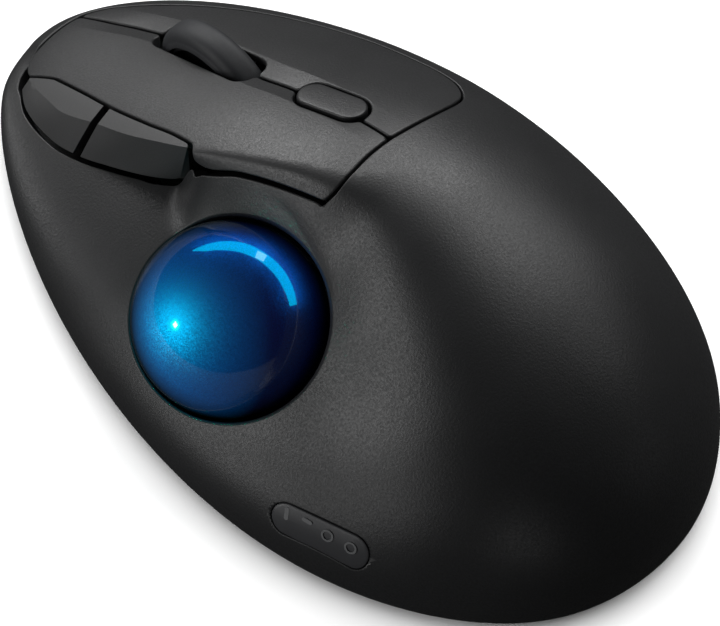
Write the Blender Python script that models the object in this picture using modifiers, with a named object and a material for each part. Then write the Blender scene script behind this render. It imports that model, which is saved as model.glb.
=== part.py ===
"""Right-handed thumb trackball mouse: case, buttons, ball, scroll wheel, boards and battery.

Frame: metres, +Z up, +Y towards the front (the scroll wheel end), +X towards the right.
The origin is on the table, under the middle of the mouse's plan box.
All dimensions below are in millimetres; MM turns them into metres.
"""

import math

import bmesh
import bpy
import numpy as np
from mathutils import Matrix, Vector

MM = 0.001
UP = (0, 0, 1)
ALONG_X = (1, 0, 0)
ALONG_Y = (0, 1, 0)

# ---------------------------------------------------------------- driving dimensions: surface
# Plan outline at its widest level: reach from the origin, every 22.5 degrees from +X.
REACH = (45.4, 47.8, 59.7, 71.4, 76.4, 73.1, 61.9, 48.2,
         45.4, 52.8, 63.9, 72.8, 76.4, 74.1, 66.2, 54.8)
CENTRE = (-2.6, -5.8)  # pole of the shell
WIDEST_Z = 6.0  # level of the widest contour
CASE_EDGE_Z = 4.0  # lower edge of the top case

# Two domes make the upper surface: the tall hump and the low thumb shelf.
# Hump: (y, height).
HUMP = ((-90, 46), (-60, 48), (-40, 49), (-20, 49), (0, 47), (20, 41.5), (40, 34), (60, 26.5),
        (80, 20))
# Shelf: (y, height, rise towards +X over SHELF_TILT_RUN).
SHELF = ((-90, 33, 3), (-60, 33, 3), (-30, 31, 3), (0, 28, 2), (20, 25.5, 1), (40, 22, 0),
         (60, 18, 0), (80, 14, 0))
SHELF_TILT_X, SHELF_TILT_RUN = -25.6, 25
# Flank between them: (y, x of the top line, width in plan, softness of foot, softness of head).
FLANK = (
    (-90, -50.6, 60, 0.5, 0.5), (-70, -34.6, 50, 0.5, 0.5), (-50, -13.6, 34, 0.5, 0.5),
    (-35, -6.1, 25, 0.5, 0.45), (-20, -2.4, 19, 0.5, 0.4), (-10, -0.9, 16.5, 0.45, 0.3),
    (0, -3.1, 14, 0.35, 0.15), (12, -7.1, 9.5, 0.3, 0.13), (20, -9.9, 6, 0.25, 0.12),
    (27, -12.0, 2.4, 0.12, 0.1), (33, -12.6, 2.0, 0.1, 0.1), (45, -14.4, 3.0, 0.1, 0.1),
    (57, -14.6, 3.0, 0.1, 0.1), (66, -12.6, 2.4, 0.1, 0.1), (80, -7.0, 2.0, 0.1, 0.1),
)

# Shallow trough that holds the wheel and runs along the line between the main buttons.
# Split line: (y, x). Trough: (y, depth).
SPLIT = ((-2, 11.4), (10, 10.9), (21.5, 10.0), (28, 9.2), (40, 9.0), (53, 8.9), (58.5, 8.0),
         (65, 6.3), (73.5, 4.5))
TROUGH = ((-2, 0.0), (4, 0.2), (12, 0.6), (20, 1.0), (56, 1.0), (66, 0.5), (74, 0.0))
TROUGH_LEFT, TROUGH_RIGHT = 3.4, 4.6  # width on each side of the split line

# ---------------------------------------------------------------- driving dimensions: buttons
# Edges of the main buttons in plan, (x, y): side edges rear to front, the others left to right.
LEFT_EDGE = (
    (-4.9, -1.6), (-6.0, 3.0), (-7.5, 8.7), (-9.1, 14.3), (-11.3, 21.0), (-11.5, 23.2),
    (-9.6, 26.0), (-9.5, 30.0), (-9.9, 36.4), (-10.2, 45.5), (-9.9, 55.0), (-9.8, 61.8),
    (-10.5, 64.9), (-11.6, 68.2),
)
LEFT_EDGE_BEND = 6  # from this point on, the left edge runs beside the thumb buttons
RIGHT_EDGE = (
    (31.7, 1.6), (33.3, 5.0), (33.7, 9.0), (33.2, 14.0), (32.4, 20.0), (30.8, 28.0),
    (28.3, 37.0), (24.8, 46.0), (20.4, 54.5), (15.4, 62.0), (11.4, 67.0),
)
REAR_LEFT = ((-4.9, -1.6), (-2.7, -2.2), (1.2, -1.8), (6.6, -1.1), (11.1, -0.9))
REAR_RIGHT = ((11.7, -0.9), (16.2, -1.1), (20.9, -1.2), (26.1, -1.0), (29.6, -0.2), (31.7, 1.6))
FRONT_LEFT = ((-11.6, 68.2), (-10.4, 70.0), (-8.6, 71.2), (-5.3, 72.1), (-1.3, 72.5), (4.3, 72.3))
FRONT_RIGHT = ((4.9, 72.3), (7.6, 70.9), (11.4, 67.0))
# Outer edges of the two thumb buttons, upper and lower, (x, y) rear to front.
SIDE_TOP = ((-10.6, 25.4), (-11.2, 27.5), (-12.4, 32.8), (-13.6, 39.4), (-14.2, 46.3),
            (-15.0, 54.3), (-14.0, 60.3), (-13.3, 63.7), (-11.9, 67.9))
SIDE_FOOT = ((-12.3, 25.4), (-13.1, 28.0), (-14.6, 33.0), (-16.6, 40.6), (-18.0, 46.8),
             (-18.5, 52.1), (-18.1, 56.6), (-16.5, 63.3), (-13.2, 68.4))
SEAM = 0.5  # between panels
CASE_GAP = 0.8  # round the left side of the panels

SPEED_AT, SPEED_DIR = (11.4, 12.8), (0.18, -0.984)  # pointer-speed button and its long direction
SPEED_HALF, SPEED_R = 3.7, 3.1

HINGE_Y, HINGE_Z, ROD_R = -5.0, 35.0, 1.1
EYE_R = ROD_R + 0.3
LUGS = (-3.4, 10.4, 22.4)  # x of the hinge lugs in the case

# ---------------------------------------------------------------- driving dimensions: insides
WHEEL = (9.0, 38.2, 19.6)
WHEEL_R, WHEEL_W, HUB_R = 14.0, 6.6, 10.8

BALL_AT = (-24.0, 2.0, 23.4)
BALL_R = 17.0  # standard 34 mm thumb ball
BALL_AXIS = Vector((-0.34, -0.30, 0.89)).normalized()  # from the ball out through its opening
EJECT_R = 4.4  # hole under the ball

BASE_Z = 0.9  # underside of the bottom case
BOSSES = ((-31.0, 37.0), (33.0, -14.0), (-28.0, -48.0), (16.0, -66.0))  # case screws
BOARD_Z, BOARD_T = 6.0, 1.6
SWITCH_SEAT = BOARD_Z + BOARD_T + 0.3
SWITCH_TOP = SWITCH_SEAT + 6.5
LEFT_SWITCH, RIGHT_SWITCH = (-0.6, 51.5), (17.4, 46.6)

# ---------------------------------------------------------------- scene and materials
for old in list(bpy.data.objects):
    bpy.data.objects.remove(old, do_unlink=True)

parts = bpy.data.collections.new("trackball_mouse")
cutters = bpy.data.collections.new("cutters")
bpy.context.scene.collection.children.link(parts)
bpy.context.scene.collection.children.link(cutters)
cutters.hide_render = True


def material(name, colour, roughness, metallic=0.0, alpha=1.0):
    made = bpy.data.materials.new(name)
    made.use_nodes = True
    inputs = made.node_tree.nodes["Principled BSDF"].inputs
    inputs["Base Color"].default_value = (*colour, 1)
    inputs["Roughness"].default_value = roughness
    inputs["Metallic"].default_value = metallic
    inputs["Alpha"].default_value = alpha
    made.diffuse_color = (*colour, alpha)
    return made


CASE = material("case_plastic", colour=(0.045, 0.046, 0.048), roughness=0.55)
KEY = material("button_plastic", colour=(0.055, 0.056, 0.058), roughness=0.5)
BASE = material("base_plastic", colour=(0.03, 0.03, 0.032), roughness=0.6)
BLUE = material("ball_blue", colour=(0.01, 0.12, 0.55), roughness=0.15, metallic=0.4)
TYRE = material("wheel_rubber", colour=(0.03, 0.031, 0.034), roughness=0.5)
HUB = material("hub_plastic", colour=(0.03, 0.03, 0.03), roughness=0.35)
SMOKE = material("window_plastic", colour=(0.05, 0.05, 0.055), roughness=0.2)
CUP = material("cup_plastic", colour=(0.02, 0.02, 0.022), roughness=0.4)
BEAD = material("ceramic", colour=(0.85, 0.85, 0.82), roughness=0.15)
BOARD = material("board_green", colour=(0.02, 0.16, 0.08), roughness=0.45)
SWITCH = material("switch_black", colour=(0.03, 0.03, 0.03), roughness=0.5)
PLUNGER = material("plunger_red", colour=(0.55, 0.06, 0.04), roughness=0.4)
STEEL = material("steel", colour=(0.62, 0.62, 0.63), roughness=0.3, metallic=1.0)
CLEAR = material("lens_clear", colour=(0.8, 0.85, 0.9), roughness=0.05, alpha=0.5)
CELL = material("cell_wrap", colour=(0.12, 0.13, 0.15), roughness=0.35, metallic=0.3)
PAD = material("foot_ptfe", colour=(0.6, 0.6, 0.6), roughness=0.35)
FRAME = material("carrier_plastic", colour=(0.75, 0.75, 0.72), roughness=0.5)
CABLE = material("cable", colour=(0.8, 0.8, 0.78), roughness=0.5)


# ---------------------------------------------------------------- curves
def end_slope(gap, next_gap, rate, next_rate):
    """Slope at the end of a monotone cubic, from its two end spans."""
    slope = ((2 * gap + next_gap) * rate - gap * next_rate) / (gap + next_gap)
    if slope * rate <= 0:
        return 0.0
    if rate * next_rate < 0 and abs(slope) > 3 * abs(rate):
        return 3 * rate
    return slope


def smooth_curve(stations, values):
    """Monotone cubic through three or more stations, held flat beyond the ends."""
    stations, values = np.asarray(stations, float), np.asarray(values, float)
    gaps = np.diff(stations)
    rates = np.diff(values) / gaps
    slopes = np.zeros_like(stations)
    for k in range(1, len(stations) - 1):
        if rates[k - 1] * rates[k] > 0:
            before, after = 2 * gaps[k] + gaps[k - 1], gaps[k] + 2 * gaps[k - 1]
            slopes[k] = (before + after) / (before / rates[k - 1] + after / rates[k])
    slopes[0] = end_slope(gaps[0], gaps[1], rates[0], rates[1])
    slopes[-1] = end_slope(gaps[-1], gaps[-2], rates[-1], rates[-2])

    def value_at(where):
        where = np.clip(where, stations[0], stations[-1])
        k = np.clip(np.searchsorted(stations, where, side="right") - 1, 0, len(stations) - 2)
        t = (where - stations[k]) / gaps[k]
        return (values[k] * (1 + 2 * t) * (1 - t) ** 2
                + slopes[k] * gaps[k] * t * (1 - t) ** 2
                + values[k + 1] * t * t * (3 - 2 * t)
                + slopes[k + 1] * gaps[k] * t * t * (t - 1))

    return value_at


def curves_of(table):
    """One smooth curve for each column after the first, which holds the stations."""
    stations, *columns = zip(*table)
    return [smooth_curve(stations, column) for column in columns]


def run_lengths(points):
    """Distance of each point from the first, along the polyline."""
    return np.concatenate([[0], np.cumsum(np.hypot(*np.diff(points, axis=0).T))])


def dense(points, spacing):
    """Polyline resampled on a smooth curve through its points."""
    points = np.array(points, float)
    run = run_lengths(points)
    stops = np.linspace(0, run[-1], max(2, int(round(run[-1] / spacing)) + 1))
    return np.stack([smooth_curve(run, points[:, axis])(stops) for axis in (0, 1)], -1)


def along(points):
    """Function giving the point of a polyline at a share 0..1 of its length."""
    points = dense(points, 0.5)
    run = run_lengths(points)
    run /= run[-1]
    return lambda share: np.stack([np.interp(share, run, points[:, axis]) for axis in (0, 1)], -1)


# ---------------------------------------------------------------- the surface
def reach(angle, order=0):
    """Reach of the outline in each direction, or its derivative, as a trigonometric curve."""
    count = len(REACH)
    total = np.zeros_like(angle)
    for i, wave in enumerate(np.fft.rfft(REACH) / count):
        share = 1 if i in (0, count // 2) else 2
        total = total + share * (wave * np.exp(1j * i * angle) * (1j * i) ** order).real
    return total


def outline_table():
    """Polar table of the outline about CENTRE, repeated over three turns."""
    angle = np.linspace(0, 2 * np.pi, 721)[:-1]
    support, change = reach(angle), reach(angle, 1)
    x = support * np.cos(angle) - change * np.sin(angle) - CENTRE[0]
    y = support * np.sin(angle) + change * np.cos(angle) - CENTRE[1]
    theta = np.unwrap(np.arctan2(y, x))
    turns = np.concatenate([theta - 2 * np.pi, theta, theta + 2 * np.pi])
    return turns, np.tile(np.hypot(x, y), 3)


outline_theta, outline_radius = outline_table()
(hump_z,) = curves_of(HUMP)
shelf_z, shelf_tilt = curves_of(SHELF)
flank_x, flank_width, foot_softness, head_softness = curves_of(FLANK)
(split_x,) = curves_of(SPLIT)
(trough_depth,) = curves_of(TROUGH)


def edge_radius(theta):
    return np.interp(theta, outline_theta, outline_radius)


def outline_at(theta, inset):
    """Plan points of the outline, moved towards the pole by an inset."""
    radius = edge_radius(theta) - inset
    return np.stack([CENTRE[0] + radius * np.cos(theta), CENTRE[1] + radius * np.sin(theta)], -1)


def domes(x, y):
    """Heights of the hump and of the thumb shelf at a point of the plan."""
    theta = np.arctan2(y - CENTRE[1], x - CENTRE[0])
    rho = np.clip(np.hypot(x - CENTRE[0], y - CENTRE[1]) / edge_radius(theta), 0, 1)
    hump_power = 2.2 - 0.2 * np.cos(theta)
    tall = WIDEST_Z + (hump_z(y) - WIDEST_Z) * np.sqrt(1 - rho**hump_power)
    low = shelf_z(y) + shelf_tilt(y) * (x - SHELF_TILT_X) / SHELF_TILT_RUN
    low = WIDEST_Z + (low - WIDEST_Z) * np.sqrt(1 - rho**2.6)
    return tall, low


def flank(x, y, shift=0.0):
    """0 on the shelf, 1 on the hump, with rounded foot and head."""
    width, foot, head = flank_width(y), foot_softness(y), head_softness(y)
    t = (x - shift - (flank_x(y) - width)) / width
    return np.clip((np.sqrt(t * t + foot * foot) - np.sqrt((t - 1) ** 2 + head * head) + 1) / 2,
                   0, 1)


def trough(x, y):
    offset = x - split_x(y)
    side = np.where(offset < 0, TROUGH_LEFT, TROUGH_RIGHT)
    return trough_depth(y) * np.clip(1 - np.abs(offset) / side, 0, 1)


def case_height(x, y, shift=0.0):
    tall, low = domes(x, y)
    return low + (tall - low) * flank(x, y, shift)


def case_at(x, y):
    """Height of the case at one point."""
    return float(case_height(np.array(float(x)), np.array(float(y))))


def crown_at(x, y):
    """Height of the hump, less the trough, at one point."""
    x, y = np.array(float(x)), np.array(float(y))
    return float(domes(x, y)[0] - trough(x, y))


def lowest(height, x, y, x_steps, y_steps):
    """Least height over a small grid of offsets from a point."""
    return min(height(x + dx, y + dy) for dx in x_steps for dy in y_steps)


# ---------------------------------------------------------------- modelling helpers
def new_object(name, solid, mat=None, matrix=None, smooth=True):
    """Object from a bmesh. Here and below, a solid without a material is a boolean helper."""
    mesh = bpy.data.meshes.new(name)
    solid.to_mesh(mesh)
    solid.free()
    obj = bpy.data.objects.new(name, mesh)
    (parts if mat else cutters).objects.link(obj)
    if matrix is not None:
        obj.matrix_world = matrix
    if mat is None:
        obj.hide_render = True
        obj.display_type = "WIRE"
        return obj
    mesh.materials.append(mat)
    if smooth:
        mesh.shade_smooth()
        mesh.set_sharp_from_angle(angle=math.radians(35))
    return obj


def place(point, z_axis=UP, x_axis=None):
    """Matrix that puts a local shape at a point (mm), with its +Z along z_axis."""
    z = Vector(z_axis).normalized()
    if x_axis is None:
        x_axis = ALONG_X if abs(z.x) < 0.9 else ALONG_Y
    x = Vector(x_axis)
    x = (x - z * x.dot(z)).normalized()
    y = z.cross(x)
    matrix = Matrix((x, y, z)).transposed().to_4x4()
    matrix.translation = Vector(point) * MM
    return matrix


def in_frame(frame, x, y, z):
    """Point (mm) given in the local frame of a matrix."""
    return (frame @ (Vector((x, y, z)) * MM)) / MM


def cuboid(name, size, centre, matrix, mat):
    """Box given in metres in the local frame of a matrix."""
    solid = bmesh.new()
    bmesh.ops.create_cube(solid, size=1)
    bmesh.ops.scale(solid, vec=size, verts=solid.verts)
    bmesh.ops.translate(solid, vec=centre, verts=solid.verts)
    return new_object(name, solid, mat, matrix)


def box(name, low, high, mat=None):
    """Upright box between two corners, with its origin in its middle."""
    low, high = Vector(low) * MM, Vector(high) * MM
    return cuboid(name, high - low, (0, 0, 0), Matrix.Translation((low + high) / 2), mat)


def around(x, y, half_x, half_y, low, high):
    """Corners of a box centred on a plan point."""
    return (x - half_x, y - half_y, low), (x + half_x, y + half_y, high)


def slab(name, z, size, matrix, mat):
    """Box centred at height z on the local Z axis of a matrix."""
    return cuboid(name, Vector(size) * MM, Vector((0, 0, z)) * MM, matrix, mat)


def rod(name, point, axis, radius, start, end, mat=None, sides=24, x_axis=None):
    """Cylinder about an axis through a point, from start to end along it."""
    solid = bmesh.new()
    bmesh.ops.create_cone(solid, cap_ends=True, segments=sides, radius1=radius * MM,
                          radius2=radius * MM, depth=(end - start) * MM)
    bmesh.ops.translate(solid, vec=(0, 0, (start + end) / 2 * MM), verts=solid.verts)
    return new_object(name, solid, mat, place(point, axis, x_axis))


def ball(name, point, radius, mat, segments, rings):
    solid = bmesh.new()
    bmesh.ops.create_uvsphere(solid, u_segments=segments, v_segments=rings, radius=radius * MM)
    return new_object(name, solid, mat, place(point))


def turned(name, profile, point, axis, mat, steps):
    """Solid turned from (radius, height) points; the profile closes up unless it ends on the axis."""
    solid = bmesh.new()
    line = [solid.verts.new((radius * MM, 0, z * MM)) for radius, z in profile]
    closed = profile[0][0] > 0 or profile[-1][0] > 0
    for start, end in zip(line, line[1:] + line[:1] if closed else line[1:]):
        solid.edges.new((start, end))
    obj = new_object(name, solid, mat, place(point, axis), smooth=False)
    screw = obj.modifiers.new("turn", "SCREW")
    screw.steps = screw.render_steps = steps
    screw.use_merge_vertices = True
    screw.merge_threshold = 0.00001
    return obj


def outline_solid(name, points, low, high, mat=None, matrix=Matrix.Identity(4)):
    """Flat outline, given in mm, extruded between two heights of the local frame."""
    curve = bpy.data.curves.new(name, "CURVE")
    curve.dimensions = "2D"
    curve.fill_mode = "BOTH"
    curve.extrude = (high - low) / 2 * MM
    spline = curve.splines.new("POLY")
    spline.points.add(len(points) - 1)
    for point, (x, y) in zip(spline.points, points):
        point.co = (x * MM, y * MM, 0, 1)
    spline.use_cyclic_u = True
    drawn = bpy.data.objects.new(name + "_outline", curve)
    cutters.objects.link(drawn)
    drawn.matrix_world = matrix @ Matrix.Translation((0, 0, (low + high) / 2 * MM))
    bpy.context.view_layer.update()
    evaluated = drawn.evaluated_get(bpy.context.evaluated_depsgraph_get())
    mesh = bpy.data.meshes.new_from_object(evaluated)
    solid = bmesh.new()
    solid.from_mesh(mesh)
    bmesh.ops.remove_doubles(solid, verts=solid.verts, dist=0.000001)
    bmesh.ops.recalc_face_normals(solid, faces=solid.faces)
    frame = drawn.matrix_world.copy()
    bpy.data.objects.remove(drawn, do_unlink=True)
    bpy.data.meshes.remove(mesh)
    return new_object(name, solid, mat, frame)


def side_plate(name, points, low_x, high_x, mat=None):
    """Outline drawn in the YZ plane, extruded along X."""
    upright = Matrix(((0, 0, 1, 0), (1, 0, 0, 0), (0, 1, 0, 0), (0, 0, 0, 1)))
    return outline_solid(name, points, low_x, high_x, mat, upright)


def loft(name, sections, mat):
    """Closed solid through sections of equal point count, with a middle point at each end."""
    solid = bmesh.new()
    rings = [[solid.verts.new(Vector(point) * MM) for point in ring] for ring in sections]
    count = len(rings[0])
    for low, high in zip(rings, rings[1:]):
        for i in range(count):
            j = (i + 1) % count
            solid.faces.new((low[i], low[j], high[j], high[i]))
    for ring, is_last in ((rings[0], False), (rings[-1], True)):
        middle = solid.verts.new(sum((vert.co for vert in ring), Vector()) / count)
        for i in range(count):
            j = (i + 1) % count
            solid.faces.new((ring[i], ring[j], middle) if is_last else (ring[j], ring[i], middle))
    bmesh.ops.recalc_face_normals(solid, faces=solid.faces)
    return new_object(name, solid, mat)


def grid_solid(name, surface, columns, rows, thickness, mat, merge=False, origin=(0, 0, 0)):
    """Grid mapped by surface(u, v), thickened inwards; merge joins coinciding points."""
    solid = bmesh.new()
    bmesh.ops.create_grid(solid, x_segments=columns, y_segments=rows, size=0.5)
    shares = np.array([(vert.co.x + 0.5, vert.co.y + 0.5) for vert in solid.verts])
    for vert, point in zip(solid.verts, surface(shares[:, 0], shares[:, 1])):
        vert.co = (Vector(point) - Vector(origin)) * MM
    if merge:
        bmesh.ops.remove_doubles(solid, verts=solid.verts, dist=0.000005)
    bmesh.ops.recalc_face_normals(solid, faces=solid.faces)
    # An open surface may come out facing down; the wall must grow downwards from it.
    if sum(face.normal.z * face.calc_area() for face in solid.faces) < 0:
        bmesh.ops.reverse_faces(solid, faces=solid.faces)
    obj = new_object(name, solid, mat, Matrix.Translation(Vector(origin) * MM))
    wall = obj.modifiers.new("wall", "SOLIDIFY")
    wall.thickness = thickness * MM
    wall.offset = -1
    return obj


def wire(name, points, radius, mat, origin=(0, 0, 0)):
    """Round wire through points given from its origin."""
    curve = bpy.data.curves.new(name, "CURVE")
    curve.dimensions = "3D"
    curve.bevel_depth = radius * MM
    curve.bevel_resolution = 1
    curve.use_fill_caps = True
    spline = curve.splines.new("POLY")
    spline.points.add(len(points) - 1)
    for target, point in zip(spline.points, points):
        target.co = (*(Vector(point) * MM), 1)
    obj = bpy.data.objects.new(name, curve)
    parts.objects.link(obj)
    obj.location = Vector(origin) * MM
    curve.materials.append(mat)


def add_boolean(obj, tool, prefix, operation):
    modifier = obj.modifiers.new(prefix + tool.name, "BOOLEAN")
    modifier.operation = operation
    modifier.object = tool
    modifier.solver = "EXACT"


def cut(obj, *tools):
    for tool in tools:
        add_boolean(obj, tool, "cut_", "DIFFERENCE")


def join(obj, tool):
    add_boolean(obj, tool, "join_", "UNION")


def arc(x, y, radius, start, end, count):
    """Points on a circle between two angles in degrees."""
    angles = [math.radians(start + (end - start) * i / count) for i in range(count + 1)]
    return [(x + radius * math.cos(a), y + radius * math.sin(a)) for a in angles]


def stadium(half, radius, count=8):
    """Outline with round ends, its long side along local X."""
    return arc(half, 0, radius, -90, 90, count) + arc(-half, 0, radius, 90, 270, count)


def round_box(x0, x1, y0, y1, radius, count=5):
    """Rectangle with round corners."""
    corners = ((x1 - radius, y1 - radius), (x0 + radius, y1 - radius),
               (x0 + radius, y0 + radius), (x1 - radius, y0 + radius))
    points = []
    for quarter, (x, y) in enumerate(corners):
        points += arc(x, y, radius, 90 * quarter, 90 * quarter + 90, count)
    return points


# ---------------------------------------------------------------- top case
WALL = 2.0
RINGS = 11  # from the pole to the widest contour
RIM = ((0.0, WIDEST_Z), (0.15, 5.0), (0.7, CASE_EDGE_Z))  # (inset, z) of the lowest rings
BALL_OPENING_R = 17.55
PANEL_CUT = (4.5, 60)  # heights between which the button openings are cut
# Corners of the panel opening: outside the front and the rear of the thumb buttons, and at
# the rear left of the left button.
FRONT_CORNER = ((-9.6, 71.7), (-11.6, 71.0), (-13.6, 69.6))
THUMB_CORNER = ((-12.6, 24.4), (-12.2, 23.0))
REAR_CORNER = (-5.6, -2.0)


def case_point(u, v):
    theta = u * 2 * np.pi
    rings = np.round(v * (RINGS + len(RIM) - 1)).astype(int)
    rho = np.sin(np.clip(rings / RINGS, 0, 1) * np.pi / 2)
    inset = np.zeros_like(rho)
    for k, (ring_inset, _) in enumerate(RIM):
        inset[rings == RINGS + k] = ring_inset
    radius = edge_radius(theta) * rho - inset
    x, y = CENTRE[0] + radius * np.cos(theta), CENTRE[1] + radius * np.sin(theta)
    # Beside the thumb buttons the flank belongs to them, so the case keeps to the shelf there.
    shift = 5.0 * np.clip((y - 26) / 5, 0, 1)
    z = case_height(x, y, shift)
    for k, (_, level) in enumerate(RIM):
        z[rings == RINGS + k] = level
    return np.stack([x, y, z], -1)


def panel_opening():
    """Outline round the main and thumb buttons, anticlockwise from the rear left."""
    return [
        *((x, y - SEAM) for x, y in REAR_LEFT[:-1] + REAR_RIGHT[:-1]),
        *((x + SEAM, y) for x, y in RIGHT_EDGE),
        *((x, y + SEAM) for x, y in FRONT_RIGHT[-2::-1] + FRONT_LEFT[:1:-1]),
        *FRONT_CORNER,
        *((x - CASE_GAP, y) for x, y in dense(SIDE_FOOT, 3.0)[-2:0:-1]),
        *THUMB_CORNER,
        *((x - CASE_GAP, y) for x, y in LEFT_EDGE[4:0:-1]),
        REAR_CORNER,
    ]


def add_bosses(case):
    """Screw bosses, bored from below."""
    offsets = (-3, 0, 3)
    for i, (x, y) in enumerate(BOSSES):
        top = lowest(case_at, x, y, offsets, offsets) - 0.7
        join(case, rod(f"boss_{i}", (x, y, 0), UP, 2.9, CASE_EDGE_Z, top, sides=16))
        cut(case, rod(f"boss_bore_{i}", (x, y, 0), UP, 1.5, CASE_EDGE_Z - 1, CASE_EDGE_Z + 9,
                      sides=12))


def add_lugs(case):
    """Lugs that hang from the case and hold the button hinge rod."""
    for i, x in enumerate(LUGS):
        top = lowest(case_at, x, HINGE_Y, (-1, 1), (-2, 2)) - 0.8
        join(case, box(f"lug_{i}", *around(x, HINGE_Y, 1, 2.5, HINGE_Z - 2.5, top)))
        cut(case, rod(f"lug_bore_{i}", (x, HINGE_Y, HINGE_Z), ALONG_X, EYE_R, -2, 2, sides=16))


def top_case(window_frame):
    case = grid_solid("top_case", case_point, 60, RINGS + len(RIM) - 1, WALL, CASE, merge=True)
    cut(case, outline_solid("panel_opening", panel_opening(), *PANEL_CUT))
    cut(case, rod("ball_opening", BALL_AT, BALL_AXIS, BALL_OPENING_R, -11, 30, sides=44))
    opening = stadium(WINDOW_HALF, WINDOW_R + 0.3)
    cut(case, outline_solid("window_opening", opening, -5, 6, matrix=window_frame))
    add_bosses(case)
    add_lugs(case)


# ---------------------------------------------------------------- status window
WINDOW_AT = (-39.0, -34.8)
WINDOW_RUN = (0.27, -0.96)  # plan direction of its long side
WINDOW_LEN, WINDOW_R = 18.5, 3.0
WINDOW_HALF = WINDOW_LEN / 2 - WINDOW_R
WINDOW_PROFILE = ((0.0, -2.2), (0.0, -0.5), (0.6, -0.15), (1.6, 0.05))  # (inset, local z)


def window_place():
    """Frame on the case surface, local X along the window and local Z out of the case."""
    step = 0.5
    x, y = WINDOW_AT

    def tangent(way):
        rise = (case_at(x + way.x * step, y + way.y * step)
                - case_at(x - way.x * step, y - way.y * step))
        return (way + Vector((0, 0, rise / (2 * step)))).normalized()

    run = Vector((*WINDOW_RUN, 0)).normalized()
    long_side = tangent(run)
    short_side = tangent(Vector((run.y, -run.x, 0)))
    return place((x, y, case_at(x, y)), short_side.cross(long_side), long_side)


def status_window(frame):
    """Window with the light guide and its board below."""
    sections = [[in_frame(frame, x, y, z) for x, y in stadium(WINDOW_HALF, WINDOW_R - inset, 6)]
                for inset, z in WINDOW_PROFILE]
    loft("status_window", sections, SMOKE)
    slab("light_guide", -3.6, (15.5, 3.6, 2.0), frame, CLEAR)
    slab("status_board", -5.5, (17.5, 4.6, 1.0), frame, BOARD)


# ---------------------------------------------------------------- main buttons
PANEL = 1.7  # thickness
PANEL_FLANK_END_Y = 27  # ahead of this the panels lie wholly on the hump
SLOT_X, SLOT_Y, SLOT_R = (5.2, 12.9), (29.3, 54.0), 2.6  # wheel slot
POST_HALF = 1.4  # post that presses the switch
ARM_HALF = 1.2  # half width of a hinge arm
ARM_EYE = 2.2  # half height of the arm at the hinge
ARM_Y = (0.6, 3.4)  # upright part of the arm
LEFT_ARMS, RIGHT_ARMS = (0.4, 6.4), (14.6, 19.6)  # x of the arms


def panel(left, right, rear, front):
    """Surface blended between four plan edges, lifted on the crown."""
    left_at, right_at, rear_at, front_at = (along(edge) for edge in (left, right, rear, front))

    def surface(u, v):
        across, ahead = u[:, None], v[:, None]
        corners = (1 - across) * (1 - ahead) * rear_at(0.0) + across * (1 - ahead) * rear_at(1.0)
        corners = corners + (1 - across) * ahead * front_at(0.0) + across * ahead * front_at(1.0)
        plan = ((1 - across) * left_at(v) + across * right_at(v)
                + (1 - ahead) * rear_at(u) + ahead * front_at(u) - corners)
        x, y = plan[:, 0], plan[:, 1]
        tall, low = domes(x, y)
        z = low + (tall - low) * np.where(y < PANEL_FLANK_END_Y, flank(x, y), 1.0)
        return np.stack([x, y, z - trough(x, y)], -1)

    return surface


def fit_button(button, openings, switch, arms):
    """Cut the button's openings, then add its switch post and hinge arms."""
    cut(button, *openings)
    x, y = switch
    post = around(x, y, POST_HALF, POST_HALF, SWITCH_TOP + 1.3, crown_at(x, y) - 1.0)
    join(button, box(button.name + "_post", *post))
    rear_y, low_z = HINGE_Y - ARM_EYE, HINGE_Z - ARM_EYE
    near_y, far_y = ARM_Y
    for k, x in enumerate(arms):
        top = lowest(crown_at, x, 0, (-ARM_HALF, ARM_HALF), ARM_Y) - 0.8
        outline = ((rear_y, low_z), (far_y, low_z), (far_y, top), (near_y, top),
                   (near_y, HINGE_Z + ARM_EYE), (rear_y, HINGE_Z + ARM_EYE))
        join(button, side_plate(f"{button.name}_arm_{k}", outline, x - ARM_HALF, x + ARM_HALF))
        cut(button, rod(f"{button.name}_eye_{k}", (x, HINGE_Y, HINGE_Z), ALONG_X, EYE_R, -2, 2,
                        sides=16))


def main_buttons(speed_frame):
    split_left = [REAR_LEFT[-1], *((x - SEAM / 2, y) for y, x in SPLIT[1:-1]), FRONT_LEFT[-1]]
    split_right = [REAR_RIGHT[0], *((x + SEAM, y) for x, y in split_left[1:-1]), FRONT_RIGHT[0]]
    hinge = (8.0, HINGE_Y, HINGE_Z)
    left = grid_solid("left_button", panel(LEFT_EDGE, split_left, REAR_LEFT, FRONT_LEFT),
                      8, 22, PANEL, KEY, origin=hinge)
    right = grid_solid("right_button", panel(split_right, RIGHT_EDGE, REAR_RIGHT, FRONT_RIGHT),
                       8, 18, PANEL, KEY, origin=hinge)
    openings = (
        outline_solid("wheel_slot", round_box(*SLOT_X, *SLOT_Y, SLOT_R), *PANEL_CUT),
        outline_solid("speed_slot", stadium(SPEED_HALF, SPEED_R + 0.6), 30, 60,
                      matrix=speed_frame),
    )
    fit_button(left, openings, LEFT_SWITCH, LEFT_ARMS)
    fit_button(right, openings, RIGHT_SWITCH, RIGHT_ARMS)
    rod("button_hinge_rod", (0, HINGE_Y, HINGE_Z), ALONG_X, ROD_R, LUGS[0] - 1.6, LUGS[-1] + 1.6,
        STEEL, sides=16)


# ---------------------------------------------------------------- thumb buttons
SIDE_DROP = 0.15  # top below the crown
SIDE_CLEARANCE = 0.9  # underside above the shelf
SIDE_MIN_HEIGHT = 1.2
SIDE_BULGE = (-0.35, 0)  # outer face pushed out at mid height
SIDE_SECTIONS = 9


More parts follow.
